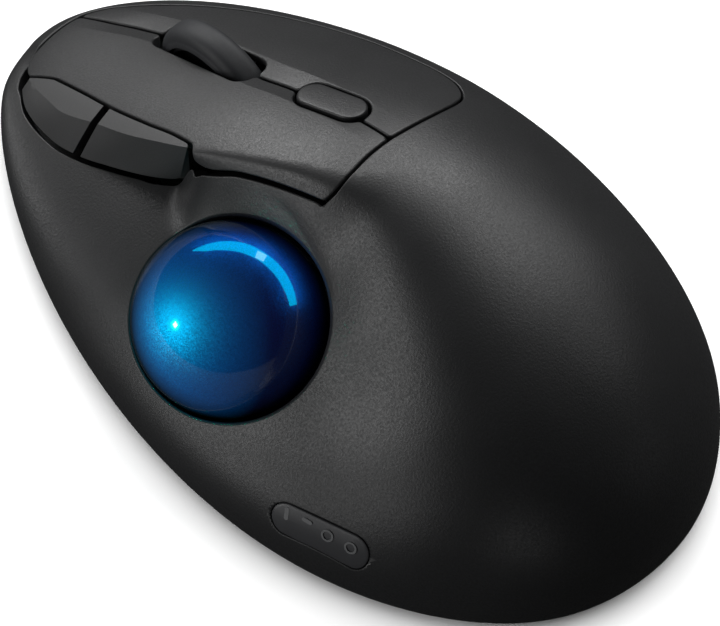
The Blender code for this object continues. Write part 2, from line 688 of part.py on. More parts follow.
def side_button(name, start, end):
    """Block along the thumb wall, cut off at two shares of the wall's run."""
    shares = np.linspace(start, end, SIDE_SECTIONS)
    edges = ([(x - SEAM, y) for x, y in LEFT_EDGE[LEFT_EDGE_BEND:]], SIDE_TOP, SIDE_FOOT)

    def bottom(point, top):
        return min(float(domes(*point)[1]) + SIDE_CLEARANCE, top - SIDE_MIN_HEIGHT)

    sections = []
    for inner, outer, foot in zip(*(along(edge)(shares) for edge in edges)):
        middle = (inner + outer) / 2
        waist = 0.5 * outer + 0.5 * foot + np.array(SIDE_BULGE)
        inner_z, middle_z, outer_z = (crown_at(*p) - SIDE_DROP for p in (inner, middle, outer))
        foot_z = bottom(foot, outer_z)
        sections.append([
            (*inner, inner_z), (*middle, middle_z), (*outer, outer_z),
            (*waist, (outer_z + foot_z) / 2), (*foot, foot_z), (*inner, bottom(inner, inner_z)),
        ])
    loft(name, sections, KEY)


# ---------------------------------------------------------------- pointer-speed button
SPEED_PROUD = 0.45  # above the crown
SPEED_PROFILE = ((0.0, -3.6), (0.0, -0.35), (0.35, 0.0), (1.6, 0.25))  # (inset, rise)


def dpi_button(frame):
    """Build the button and return the height of its flat underside."""
    sections = []
    for inset, rise in SPEED_PROFILE:
        plan = [in_frame(frame, x, y, 0) for x, y in stadium(SPEED_HALF, SPEED_R - inset, 6)]
        sections.append([(p.x, p.y, crown_at(p.x, p.y) + SPEED_PROUD + rise) for p in plan])
    underside = min(z for _, _, z in sections[0])
    sections[0] = [(x, y, underside) for x, y, _ in sections[0]]
    loft("dpi_button", sections, KEY)
    return underside


# ---------------------------------------------------------------- ball, cup, beads and sensor
CUP_IN, CUP_OUT = BALL_R + 0.6, BALL_R + 1.9
CUP_MOUTH, CUP_HOLE = 60, 10  # degrees from the foot of the ball axis
BEAD_R = 1.25
BEAD_FIRST, BEAD_DOWN = 45, 48  # degrees round the axis, and from its foot
SENSOR_DIR = Vector((0.86, -0.35, -0.37)).normalized()


def ball_unit():
    ball("trackball", BALL_AT, BALL_R, BLUE, segments=32, rings=16)
    # Angles from the foot of the axis, so the arcs are turned back by 90 degrees.
    profile = (arc(0, 0, CUP_OUT, CUP_MOUTH - 90, CUP_HOLE - 90, 6)
               + arc(0, 0, CUP_IN, CUP_HOLE - 90, CUP_MOUTH - 90, 6))
    cup = turned("ball_cup", profile, BALL_AT, BALL_AXIS, CUP, steps=30)
    side_x = (Vector(ALONG_X) - BALL_AXIS * BALL_AXIS.x).normalized()
    side_y = BALL_AXIS.cross(side_x)
    down = math.radians(BEAD_DOWN)
    for k in range(3):
        turn = math.radians(BEAD_FIRST + 120 * k)
        sideways = side_x * math.cos(turn) + side_y * math.sin(turn)
        out = sideways * math.sin(down) - BALL_AXIS * math.cos(down)
        where = Vector(BALL_AT) + out * (BALL_R + BEAD_R + 0.15)
        ball(f"bearing_bead_{k + 1}", where, BEAD_R, BEAD, segments=12, rings=8)
        cut(cup, rod(f"bead_seat_{k}", where, out, BEAD_R + 0.3, -3, 3, sides=12))
    cut(cup, rod("sensor_hole", BALL_AT, SENSOR_DIR, 3.5, 12, 24, sides=20))
    cut(cup, rod("eject_hole", BALL_AT, (0, 0, -1), EJECT_R, 10, 24, sides=20))


def sensor():
    """Lens, chip and board, one behind the other outside the cup."""
    frame = place(BALL_AT, SENSOR_DIR, UP)
    rod("sensor_lens", BALL_AT, SENSOR_DIR, 3.1, BALL_R + 0.8, BALL_R + 3.4, CLEAR, sides=20,
        x_axis=UP)
    slab("sensor_chip", BALL_R + 4.9, (9.5, 9.5, 2.2), frame, SWITCH)
    slab("sensor_board", BALL_R + 7.0, (15, 13, 1.2), frame, BOARD)


# ---------------------------------------------------------------- scroll wheel
AXLE_R, AXLE_BORE_R = 1.2, 1.5
HUB_BOSS_R, HUB_RIM_R = 2.9, HUB_R - 0.1
WEB_HALF = 1.0  # half thickness of the hub's web
CARRIER_OUT, CARRIER_IN = (5.0, 13.2), (3.9, 12.0)  # half sizes in x and y


def scroll_wheel():
    x = WHEEL[0]
    half = WHEEL_W / 2
    # Both profiles: (radius, offset along the axle).
    tyre_side = [(HUB_R + 0.2, half - 0.4), (WHEEL_R - 2.0, half), (WHEEL_R - 0.9, half - 0.5),
                 (WHEEL_R - 0.25, half - 1.5), (WHEEL_R, 0.6)]
    tyre = tyre_side + [(radius, -offset) for radius, offset in reversed(tyre_side)]
    turned("scroll_tyre", tyre, WHEEL, ALONG_X, TYRE, steps=32)
    rim, boss = half - 0.9, half - 0.5
    hub = [
        (HUB_RIM_R, rim), (HUB_RIM_R, -rim), (HUB_R - 1.4, -rim), (HUB_R - 1.6, -WEB_HALF),
        (HUB_BOSS_R, -WEB_HALF), (HUB_BOSS_R, -boss), (AXLE_BORE_R, -boss), (AXLE_BORE_R, boss),
        (HUB_BOSS_R, boss), (HUB_BOSS_R, WEB_HALF), (HUB_R - 1.6, WEB_HALF), (HUB_R - 1.4, rim),
    ]
    turned("scroll_hub", hub, WHEEL, ALONG_X, HUB, steps=24)
    rod("scroll_axle", WHEEL, ALONG_X, AXLE_R, x - 17.4 if False else -8.4, 5.8, STEEL, sides=16)


def wheel_carrier():
    """Frame round the wheel, with a cheek on each side for the axle and a tab on the right."""
    x, y, z = WHEEL
    outer, inner = (round_box(x - half_x, x + half_x, y - half_y, y + half_y, 1.0, 2)
                    for half_x, half_y in (CARRIER_OUT, CARRIER_IN))
    carrier = outline_solid("wheel_carrier", outer, 8.8, 11.0, FRAME)
    cut(carrier, outline_solid("carrier_hole", inner, 8, 12))
    for side in (-1, 1):
        x0, x1 = sorted((x + side * CARRIER_IN[0], x + side * CARRIER_OUT[0]))
        join(carrier, box(f"cheek_{side}", (x0, y - 3, 9.4), (x1, y + 3, z + 2.6)))
    join(carrier, box("press_tab", (x + 4.4, y - 3.6, 12.9), (x + 9.6, y - 0.4, 14.3)))
    cut(carrier, rod("axle_bore", WHEEL, ALONG_X, AXLE_BORE_R, -6, 6, sides=16))


def encoder():
    """Encoder on the left end of the axle."""
    x, y, z = WHEEL
    body = box("encoder_body", (x - 8.8, y - 5.2, 12.6), (x - 5.5, y + 5.2, 24.6), SWITCH)
    cut(body, rod("encoder_bore", WHEEL, ALONG_X, 2.9, -10, -4, sides=20))
    rotor = [(2.6, 1.3), (2.6, -1.3), (AXLE_BORE_R, -1.3), (AXLE_BORE_R, 1.3)]
    turned("encoder_rotor", rotor, (x - 7.1, y, z), ALONG_X, FRAME, steps=20)


# ---------------------------------------------------------------- boards and switches
# Main board in plan, (x, y); side board, (y, z).
MAIN_BOARD = ((-8, 62), (-2, 66), (9, 64), (20, 56), (29, 42), (33, 24), (33, 4.5), (-3, 4.5),
              (-5.5, 22), (-8, 34))
SIDE_BOARD = ((34, SWITCH_SEAT + 0.2), (42, SWITCH_SEAT + 0.2), (42, 15.2), (57, 12.0),
              (57, 14.5), (50, 17.6), (41, 22.5), (34, 26.5))
SIDE_BOARD_X, SIDE_BOARD_T = -5.2, 1.0
SIDE_SWITCHES = (("back", 37.0, 21.5), ("forward", 52.5, 14.4))  # (name, y, z)
WELL_GAP = 0.3  # round a plunger
WELL_OPEN = 3  # how far the well's cutter runs out past the plunger


def switch_pair(name, body, plunger, travel, direction=UP):
    """Switch body with a well for its plunger, and the plunger, standing proud of it.

    Body and plunger are given by their corners; the plunger moves along one axis.
    """
    well_low, well_high = Vector(plunger[0]), Vector(plunger[1])
    for axis, way in enumerate(direction):
        below = above = WELL_GAP
        if way > 0:
            below, above = travel + WELL_GAP, WELL_OPEN
        elif way < 0:
            below, above = WELL_OPEN, travel + WELL_GAP
        well_low[axis] -= below
        well_high[axis] += above
    block = box(f"{name}_switch_body", *body, SWITCH)
    cut(block, box(f"{name}_well", well_low, well_high))
    box(f"{name}_switch_plunger", *plunger, PLUNGER)


def main_board():
    """Board beside the wheel, with the switches of the main buttons and of the wheel."""
    board = outline_solid("main_board", MAIN_BOARD, BOARD_Z, BOARD_Z + BOARD_T, BOARD)
    wheel_x, wheel_y, _ = WHEEL
    cut(board, box("board_slot", *around(wheel_x, wheel_y, 4.4, 10, 5, 9)))
    for name, (x, y) in (("left", LEFT_SWITCH), ("right", RIGHT_SWITCH)):
        switch_pair(name, around(x, y, 2.9, 6.4, SWITCH_SEAT, SWITCH_TOP),
                    around(x, y, 0.8, 1.4, SWITCH_TOP - 0.9, SWITCH_TOP + 1.0), travel=0.5)
    switch_pair("wheel",
                ((wheel_x + 6.2, wheel_y - 5, SWITCH_SEAT),
                 (wheel_x + 12.2, wheel_y + 1, SWITCH_SEAT + 3.6)),
                ((wheel_x + 7.2, wheel_y - 3.2, SWITCH_SEAT + 2.6),
                 (wheel_x + 9.2, wheel_y - 0.8, SWITCH_SEAT + 4.7)), travel=0.6)


def side_board():
    """Upright board with the switches of the thumb buttons on its left face."""
    board_x = SIDE_BOARD_X
    side_plate("side_board", SIDE_BOARD, board_x, board_x + SIDE_BOARD_T, BOARD)
    for name, y, z in SIDE_SWITCHES:
        switch_pair(name,
                    ((board_x - 3.0, y - 2.2, z - 2.0), (board_x - 0.3, y + 2.2, z + 2.0)),
                    ((board_x - 3.9, y - 1.0, z - 1.0), (board_x - 2.2, y + 1.0, z + 1.0)),
                    travel=0.3, direction=(-1, 0, 0))


def upper_board(button_underside):
    """Board and switch under the pointer-speed button."""
    x, y = SPEED_AT
    top = button_underside - 5.2
    box("upper_board", *around(x, y, 7, 8, top - 1.0, top), BOARD)
    switch_pair("dpi", around(x, y, 3, 3, top + 0.3, top + 3.5),
                around(x, y, 1, 1, top + 2.6, top + 4.9), travel=0.6)


# ---------------------------------------------------------------- bottom case, door, feet
BASE_T = 1.7
RIM_TOP = CASE_EDGE_Z - 0.4
# Rings of the bottom case, (inset from the outline, z): up the outside, down the inside.
BASE_RINGS = ((3.6, BASE_Z), (2.6, BASE_Z + 0.35), (1.9, 2.2), (1.5, RIM_TOP),
              (2.9, RIM_TOP), (3.9, BASE_Z + BASE_T))
THROUGH_BASE = (-1, 5)  # heights between which openings in the base are cut
BAY_X, BAY_Y, BAY_R = (-9.5, 28.5), (-59.0, 1.0), 3  # battery bay
DOOR_GAP, DOOR_R, DOOR_T = 0.4, 2.6, 1.4
POWER, PAIR = (-22.0, -24.0), (-22.0, -38.0)  # power switch and pairing button
BOARD_POSTS = ((-3, 60), (28, 10), (0, 8))
# Case screw: (radius, z), from the tip down to the head.
SCREW = [(0.0, BASE_Z + 8.5), (1.1, BASE_Z + 8.5), (1.1, BASE_Z + 1.3), (1.2, BASE_Z + 0.6),
         (2.5, BASE_Z + 0.6), (2.5, BASE_Z + 0.1), (2.1, BASE_Z - 0.25), (0.0, BASE_Z - 0.25)]
CROSS_LONG, CROSS_SHORT = 1.4, 0.3  # half sizes of the screw's cross recess
FOOT_T = 0.6
# Feet: name, angle round the pole, inset from the outline, half length, end radius.
FEET = (
    ("foot_front", 88, 10.5, 9.0, 2.6), ("foot_left", 162, 8.0, 9.0, 2.4),
    ("foot_right", 12, 8.0, 9.0, 2.4), ("foot_rear_left", 236, 8.5, 7.0, 2.6),
    ("foot_rear_right", 320, 8.5, 7.0, 2.6),
)


def battery_door():
    outline = round_box(BAY_X[0] + DOOR_GAP, BAY_X[1] - DOOR_GAP,
                        BAY_Y[0] + DOOR_GAP, BAY_Y[1] - DOOR_GAP, DOOR_R)
    door = outline_solid("battery_door", outline, BASE_Z, BASE_Z + DOOR_T, BASE)
    for k in range(4):
        y = -6.5 - 2.2 * k
        cut(door, box(f"grip_{k}", (4, y, 0.5), (15, y + 1, BASE_Z + 0.4)))


def case_screw(number, x, y):
    screw = turned(f"case_screw_{number + 1}", SCREW, (x, y, 0), UP, STEEL, steps=16)
    for arm, half_x, half_y in (("a", CROSS_LONG, CROSS_SHORT), ("b", CROSS_SHORT, CROSS_LONG)):
        recess = around(x, y, half_x, half_y, -1, BASE_Z + 0.3)
        cut(screw, box(f"screw_cross_{arm}_{number}", *recess))


def bottom_case():
    """Base tray, with its openings, screws and board posts."""
    theta = np.linspace(0, 2 * np.pi, 48, endpoint=False)
    rings = [[(x, y, z) for x, y in outline_at(theta, inset)] for inset, z in BASE_RINGS]
    case = loft("bottom_case", rings, BASE)
    cut(case, outline_solid("bay_opening", round_box(*BAY_X, *BAY_Y, BAY_R), *THROUGH_BASE))
    cut(case, rod("eject_opening", (*BALL_AT[:2], 0), UP, EJECT_R, *THROUGH_BASE))
    x, y = POWER
    opening = round_box(x - 2.2, x + 2.2, y - 4.6, y + 4.6, 1.2)
    cut(case, outline_solid("power_opening", opening, *THROUGH_BASE))
    cut(case, rod("pair_opening", (*PAIR, 0), UP, 2.9, *THROUGH_BASE))
    for i, (x, y) in enumerate(BOSSES):
        cut(case, rod(f"screw_hole_{i}", (x, y, 0), UP, 1.6, -1, 6, sides=16))
        cut(case, rod(f"screw_head_seat_{i}", (x, y, 0), UP, 2.9, -1, BASE_Z + 0.9, sides=20))
        case_screw(i, x, y)
    for x, y in BOARD_POSTS:
        join(case, rod(f"board_post_{x}_{y}", (x, y, 0), UP, 2.0, 2.0, BOARD_Z - 0.3, sides=12))


def base_controls():
    """Power switch and pairing button, reached from below."""
    x, y = POWER
    knob = round_box(x - 1.8, x + 1.8, y - 4.2, y + 1.6, 1.0)
    outline_solid("power_switch_knob", knob, BASE_Z + 0.3, BASE_Z + 2.6, PAD)
    box("power_switch_body", *around(x, y, 3.4, 5.5, BASE_Z + 2.9, BASE_Z + 6.5), STEEL)
    rod("pairing_button", (*PAIR, 0), UP, 2.5, BASE_Z + 0.2, BASE_Z + 2.8, BASE)
    box("pairing_switch_body", *around(*PAIR, 3, 3, BASE_Z + 3.9, BASE_Z + 6.9), SWITCH)


def feet():
    """Glide pads, each lying along the outline near it."""
    for name, angle, inset, half, radius in FEET:
        angles = np.radians(np.array([angle - 2.0, angle, angle + 2.0]))
        before, centre, after = outline_at(angles, inset).tolist()
        way = (after[0] - before[0], after[1] - before[1], 0)
        outline_solid(name, stadium(half, radius), 0, FOOT_T, PAD, place((*centre, 0), UP, way))


# ---------------------------------------------------------------- power, receiver and cable
BATTERY = (18.0, -29.0, 10.7)
BATTERY_R, BATTERY_LEN = 7.25, 50.5
SPRING_TURNS, SPRING_STEPS = 3, 12  # steps are per turn
CABLE_RUN = ((0.6, -2.6, 13.0), (2.4, 0.4, 12.4), (3.6, 4.0, 11.4), (4.4, 7.2, 10.0),
             (4.8, 9.4, 8.6))


def battery():
    """AA cell along Y, positive end to the front, with its contacts."""
    x, y, z = BATTERY
    half = BATTERY_LEN / 2
    profile = [(0, half), (2.6, half), (2.6, half - 1.0), (BATTERY_R - 0.7, half - 1.0),
               (BATTERY_R, half - 1.7), (BATTERY_R, -half + 0.5), (BATTERY_R - 0.5, -half),
               (0, -half)]
    turned("aa_cell", profile, BATTERY, ALONG_Y, CELL, steps=28)
    front, rear = y + half, y - half
    box("positive_contact", (x - 4, front + 0.4, 3.4), (x + 4, front + 0.9, z + 4), STEEL)
    box("negative_contact", (x - 4, rear - 4.4, 3.4), (x + 4, rear - 3.9, z + 4), STEEL)
    steps = SPRING_TURNS * SPRING_STEPS
    coil = []
    for i in range(steps + 1):
        angle = 2 * math.pi * i / SPRING_STEPS
        share = i / steps
        radius = 3.4 - 1.5 * share
        coil.append((radius * math.cos(angle), -3.1 + 2.3 * share, radius * math.sin(angle)))
    wire("contact_spring", coil, 0.35, STEEL, origin=(x, rear, z))


def usb_receiver():
    """Stored receiver: a cap with its plug towards the rear."""
    cap = box("usb_receiver", (-7.2, -34.5, 3.2), (7.2, -28.0, 8.8), BASE)
    join(cap, box("receiver_plug", (-6.0, -47.0, 3.7), (6.0, -30.0, 8.2)))


# ---------------------------------------------------------------- assembly
window_frame = window_place()
speed_frame = place((*SPEED_AT, 0), UP, (*SPEED_DIR, 0))

top_case(window_frame)
main_buttons(speed_frame)
side_button("back_button", 0.005, 0.475)
side_button("forward_button", 0.515, 0.985)
speed_underside = dpi_button(speed_frame)
status_window(window_frame)
ball_unit()
sensor()
scroll_wheel()
wheel_carrier()
encoder()
main_board()
side_board()
upper_board(speed_underside)
bottom_case()
battery_door()
base_controls()
feet()
battery()
usb_receiver()
wire("sensor_cable", CABLE_RUN, 0.6, CABLE)
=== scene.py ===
"""Looks of a thumb trackball mouse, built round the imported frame.

Frame: metres, +Z up, +Y towards the scroll wheel end (front), +X right, origin on the table
under the middle. The ball and the thumb shelf lie on the left, at -X.
Sizes are in millimetres unless a comment says otherwise, and MM turns them into metres.
"""

import math

import bmesh
import bpy
import numpy as np
from mathutils import Matrix, Vector
from mathutils.geometry import delaunay_2d_cdt


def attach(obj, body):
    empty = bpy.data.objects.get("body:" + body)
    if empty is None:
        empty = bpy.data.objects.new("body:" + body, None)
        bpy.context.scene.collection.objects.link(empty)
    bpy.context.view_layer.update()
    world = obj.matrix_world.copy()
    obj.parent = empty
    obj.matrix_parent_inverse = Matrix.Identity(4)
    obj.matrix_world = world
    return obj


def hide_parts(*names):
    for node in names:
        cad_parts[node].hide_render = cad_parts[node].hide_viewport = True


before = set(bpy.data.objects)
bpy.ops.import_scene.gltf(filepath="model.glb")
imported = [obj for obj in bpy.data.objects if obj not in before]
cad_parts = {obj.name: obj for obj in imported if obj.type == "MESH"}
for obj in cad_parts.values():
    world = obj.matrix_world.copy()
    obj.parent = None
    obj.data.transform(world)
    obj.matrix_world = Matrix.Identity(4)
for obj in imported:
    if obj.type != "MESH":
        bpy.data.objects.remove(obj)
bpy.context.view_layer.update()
MM = 0.001

# ---------------------------------------------------------------- sizes of the body
# Plan outline: distance from the origin to the tangent line facing each of 16 even directions,
# anticlockwise from +X.
REACH = (45.4, 47.8, 59.7, 71.4, 76.4, 73.1, 61.9, 48.2,
         45.4, 52.8, 63.9, 72.8, 76.4, 74.1, 66.2, 54.8)
CENTRE = (-2.6, -5.8)
WIDEST_Z, CASE_BOTTOM_Z = 6.0, 4.0
CASE_WALL, PANEL_WALL = 2.0, 1.25
SEAM = 0.5

# Stations along y: crown height of the hump; height of the thumb shelf and its rise over 25 mm
HUMP_Y = (-90, -60, -40, -20, 0, 20, 40, 60, 80)
HUMP_Z = (46, 48, 49, 49, 47, 41.5, 34, 26.5, 20)
SHELF_Y = (-90, -60, -30, 0, 20, 40, 60, 80)
SHELF_Z = (33, 33, 31, 28, 25.5, 22, 18, 14)
SHELF_TILT = (3, 3, 3, 2, 1, 0, 0, 0)
SHELF_LEVEL_X = -25.6
# The flank climbs from shelf to hump: x of its head, its width, and how soft its two ends are
FLANK_Y = (-90, -70, -50, -35, -20, -10, 0, 12, 20, 27, 33, 45, 57, 66, 80)
FLANK_X = (-50.6, -34.6, -13.6, -6.1, -2.4, -0.9, -3.1, -7.1,
           -9.9, -12.0, -12.6, -14.4, -14.6, -12.6, -7.0)
FLANK_WIDTH = (60, 50, 34, 25, 19, 16.5, 14, 9.5, 6, 2.4, 2.0, 3.0, 3.0, 2.4, 2.0)
FOOT_SOFT = (0.5, 0.5, 0.5, 0.5, 0.5, 0.45, 0.35, 0.3, 0.25, 0.12, 0.1, 0.1, 0.1, 0.1, 0.1)
HEAD_SOFT = (0.5, 0.5, 0.5, 0.45, 0.4, 0.3, 0.15, 0.13, 0.12, 0.1, 0.1, 0.1, 0.1, 0.1, 0.1)
# Split between the two main buttons, and the V trough along it
SPLIT_Y = (-2, 10, 21.5, 28, 40, 53, 58.5, 65, 73.5)
SPLIT_X = (11.4, 10.9, 10.0, 9.2, 9.0, 8.9, 8.0, 6.3, 4.5)
TROUGH_Y = (-2, 4, 12, 20, 56, 66, 74)
TROUGH_DEPTH = (0.0, 0.2, 0.6, 1.0, 1.0, 0.5, 0.0)
TROUGH_LEFT, TROUGH_RIGHT = 3.4, 4.6

# Borders of the main buttons, as (x, y)
LEFT_EDGE = (
    (-4.9, -1.6), (-6.0, 3.0), (-7.5, 8.7), (-9.1, 14.3), (-11.3, 21.0), (-11.5, 23.2),
    (-9.6, 26.0), (-9.5, 30.0), (-9.9, 36.4), (-10.2, 45.5), (-9.9, 55.0), (-9.8, 61.8),
    (-10.5, 64.9), (-11.6, 68.2))
LEFT_EDGE_TURN = 6  # from this point on the left edge runs beside the thumb keys
RIGHT_EDGE = (
    (31.7, 1.6), (33.3, 5.0), (33.7, 9.0), (33.2, 14.0), (32.4, 20.0), (30.8, 28.0),
    (28.3, 37.0), (24.8, 46.0), (20.4, 54.5), (15.4, 62.0), (11.4, 67.0))
REAR_LEFT = ((-4.9, -1.6), (-2.7, -2.2), (1.2, -1.8), (6.6, -1.1), (11.1, -0.9))
REAR_RIGHT = ((11.7, -0.9), (16.2, -1.1), (20.9, -1.2), (26.1, -1.0), (29.6, -0.2), (31.7, 1.6))
FRONT_LEFT = ((-11.6, 68.2), (-10.4, 70.0), (-8.6, 71.2), (-5.3, 72.1), (-1.3, 72.5), (4.3, 72.3))
FRONT_RIGHT = ((4.9, 72.3), (7.6, 70.9), (11.4, 67.0))
# Upper and lower outer edges of the thumb keys, as (x, y)
SIDE_TOP = (
    (-10.6, 25.4), (-11.2, 27.5), (-12.4, 32.8), (-13.6, 39.4), (-14.2, 46.3), (-15.0, 54.3),
    (-14.0, 60.3), (-13.3, 63.7), (-11.9, 67.9))
SIDE_FOOT = (
    (-10.9, 27.7), (-11.6, 28.6), (-12.5, 30.0), (-14.1, 33.4), (-16.5, 40.7), (-18.0, 46.8),
    (-18.5, 52.1), (-18.1, 56.6), (-16.5, 63.3), (-13.2, 68.4))

WHEEL_SLOT_X, WHEEL_SLOT_Y, WHEEL_SLOT_R = (5.2, 12.9), (29.3, 54.0), 2.6
WHEEL_AT = (9.0, 38.2, 19.6)
SPEED_AT, SPEED_WAY, SPEED_HALF, SPEED_R = (11.4, 12.8), (0.18, -0.984), 3.7, 3.1
SPEED_GAP, SPEED_PROUD = 0.6, 0.35
BALL_AT, BALL_R = np.array((-24.0, 2.0, 23.4)), 17.0
BALL_AXIS = np.array((-0.34, -0.30, 0.89)) / np.linalg.norm((-0.34, -0.30, 0.89))
OPENING_R = 17.55
WINDOW_AT, WINDOW_WAY = (-39.0, -34.8), (0.27, -0.96)
WINDOW_LENGTH, WINDOW_WIDTH = 18.5, 6.0
FLOOR_Z, FLOOR_THICK = 0.9, 1.7


# ---------------------------------------------------------------- the mouse's surface
def smooth_curve(xs, ys):
    """Monotone cubic through the stations, held flat beyond the ends."""
    xs, ys = np.asarray(xs, float), np.asarray(ys, float)
    gaps = np.diff(xs)
    rates = np.diff(ys) / gaps
    slope = np.zeros_like(xs)
    for k in range(1, len(xs) - 1):
        if rates[k - 1] * rates[k] > 0:
            before, after = 2 * gaps[k] + gaps[k - 1], gaps[k] + 2 * gaps[k - 1]
            slope[k] = (before + after) / (before / rates[k - 1] + after / rates[k])

    def end_slope(gap, next_gap, rate, next_rate):
        found = ((2 * gap + next_gap) * rate - gap * next_rate) / (gap + next_gap)
        if found * rate <= 0:
            return 0.0
        return 3 * rate if rate * next_rate < 0 and abs(found) > 3 * abs(rate) else found

    slope[0] = end_slope(gaps[0], gaps[1], rates[0], rates[1])
    slope[-1] = end_slope(gaps[-1], gaps[-2], rates[-1], rates[-2])

    def at(x):
        x = np.clip(x, xs[0], xs[-1])
        k = np.clip(np.searchsorted(xs, x, side="right") - 1, 0, len(xs) - 2)
        t = (x - xs[k]) / gaps[k]
        return (ys[k] * (1 + 2 * t) * (1 - t) ** 2 + slope[k] * gaps[k] * t * (1 - t) ** 2
                + ys[k + 1] * t * t * (3 - 2 * t) + slope[k + 1] * gaps[k] * t * t * (t - 1))

    return at


def reach(angle, order=0):
    """REACH as a Fourier series in the direction, or its derivative of some order."""
    count = len(REACH)
    out = np.zeros_like(angle)
    for i, wave in enumerate(np.fft.rfft(REACH) / count):
        share = 1 if i in (0, count // 2) else 2
        out = out + share * (wave * np.exp(1j * i * angle) * (1j * i) ** order).real
    return out


def polar(x, y):
    """Angle and distance of a plan point, seen from CENTRE."""
    x, y = x - CENTRE[0], y - CENTRE[1]
    return np.arctan2(y, x), np.hypot(x, y)


def heading(angle):
    return np.stack([np.cos(angle), np.sin(angle)], -1)


def plan_envelope():
    """Points of the plan outline, the curve that touches all its tangent lines."""
    facing = np.linspace(0, 2 * np.pi, 3601)[:-1]
    out, turn = reach(facing), reach(facing, 1)
    return np.stack([out * np.cos(facing) - turn * np.sin(facing),
                     out * np.sin(facing) + turn * np.cos(facing)], -1)


envelope = plan_envelope()
_angle, _distance = polar(*envelope.T)
_angle = np.unwrap(_angle)
_angle_3 = np.concatenate([_angle - 2 * np.pi, _angle, _angle + 2 * np.pi])
_distance_3 = np.tile(_distance, 3)


def edge_radius(angle):
    """Distance from CENTRE to the plan outline."""
    return np.interp(angle, _angle_3, _distance_3)


hump_z = smooth_curve(HUMP_Y, HUMP_Z)
shelf_z = smooth_curve(SHELF_Y, SHELF_Z)
shelf_tilt = smooth_curve(SHELF_Y, SHELF_TILT)
flank_x = smooth_curve(FLANK_Y, FLANK_X)
flank_width = smooth_curve(FLANK_Y, FLANK_WIDTH)
foot_soft = smooth_curve(FLANK_Y, FOOT_SOFT)
head_soft = smooth_curve(FLANK_Y, HEAD_SOFT)
split_x = smooth_curve(SPLIT_Y, SPLIT_X)
trough_depth = smooth_curve(TROUGH_Y, TROUGH_DEPTH)


def domes(x, y):
    """Heights of the hump and of the thumb shelf at a point of the plan."""
    angle, distance = polar(x, y)
    rho = np.clip(distance / edge_radius(angle), 0, 1)
    power = 2.2 - 0.2 * np.cos(angle)
    hump = WIDEST_Z + (hump_z(y) - WIDEST_Z) * np.sqrt(1 - rho**power)
    shelf = shelf_z(y) + shelf_tilt(y) * (x - SHELF_LEVEL_X) / 25
    shelf = WIDEST_Z + (shelf - WIDEST_Z) * np.sqrt(1 - rho**2.6)
    return hump, shelf


def flank_place(x, y, shift):
    """Place across the flank: 0 at its foot, 1 at its head."""
    width = flank_width(y)
    return (x - shift - (flank_x(y) - width)) / width


def flank(x, y, shift=0.0):
    """Share of the hump in the height: 0 on the shelf, 1 on the hump."""
    place = flank_place(x, y, shift)
    foot, head = foot_soft(y), head_soft(y)
    ramp = np.sqrt(place * place + foot * foot) - np.sqrt((place - 1) ** 2 + head * head)
    return np.clip((ramp + 1) / 2, 0, 1)


def trough(x, y):
    off = x - split_x(y)
    side = np.where(off < 0, TROUGH_LEFT, TROUGH_RIGHT)
    return trough_depth(y) * np.clip(1 - np.abs(off) / side, 0, 1)


def eased(share):
    share = np.clip(share, 0, 1)
    return share * share * (3 - 2 * share)


def case_flank(x, y):
    """The flank of the case itself, its foot run out softly beside the thumb keys."""
    shift = 5.0 * eased((y - 20.5) / 9)
    place = flank_place(x, y, shift)
    foot, head = foot_soft(y), head_soft(y)
    hard = flank(x, y, shift)
    # the soft foot starts at place -1 and meets the hard flank, in height and slope, at 0.6
    left, right = np.sqrt(0.36 + foot * foot), np.sqrt(0.16 + head * head)
    end, slope = (left - right + 1) / 2, (0.6 / left + 0.4 / right) / 2
    run = np.clip((place + 1) / 1.6, 0, 1)
    soft = (3 * run**2 - 2 * run**3) * end + (run**3 - run**2) * 1.6 * slope
    return np.where(place < 0.6, hard + (soft - hard) * eased((y - 10) / 11), hard)


def case_raw(x, y):
    hump, shelf = domes(x, y)
    return shelf + (hump - shelf) * case_flank(x, y)


def case_z(x, y):
    """The case's upper side, evened out where the flank runs in behind the thumb keys."""
    z = case_raw(x, y)
    share = eased((y - 13) / 5) * (1 - eased((y - 25.5) / 3))
    share = share * eased((-8 - x) / 3) * eased((x + 27) / 5)
    if not np.any(share > 0):
        return z
    total = np.zeros_like(z) + z
    for radius, count in ((1.2, 6), (2.4, 8)):
        for k in range(count):
            angle = 2 * math.pi * k / count
            total = total + case_raw(x + radius * math.cos(angle), y + radius * math.sin(angle))
    return z + share * (total / 15 - z)


def crown_z(x, y):
    return domes(x, y)[0] - trough(x, y)


def panel_z(x, y):
    hump, shelf = domes(x, y)
    return shelf + (hump - shelf) * np.where(y < 27, flank(x, y), 1.0) - trough(x, y)


# ---------------------------------------------------------------- mesh objects
def link(name, data):
    obj = bpy.data.objects.new(name, data)
    bpy.context.scene.collection.objects.link(obj)
    return obj


def bmesh_object(name, bm, finish):
    mesh = bpy.data.meshes.new(name)
    bm.to_mesh(mesh)
    bm.free()
    mesh.materials.append(finish)
    return link(name, mesh)


def settle(obj, body, node_name=None):
    """Tells the frame which body the piece rides on, and what it replaces there."""
    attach(obj, body)
    if node_name:
        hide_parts(node_name)


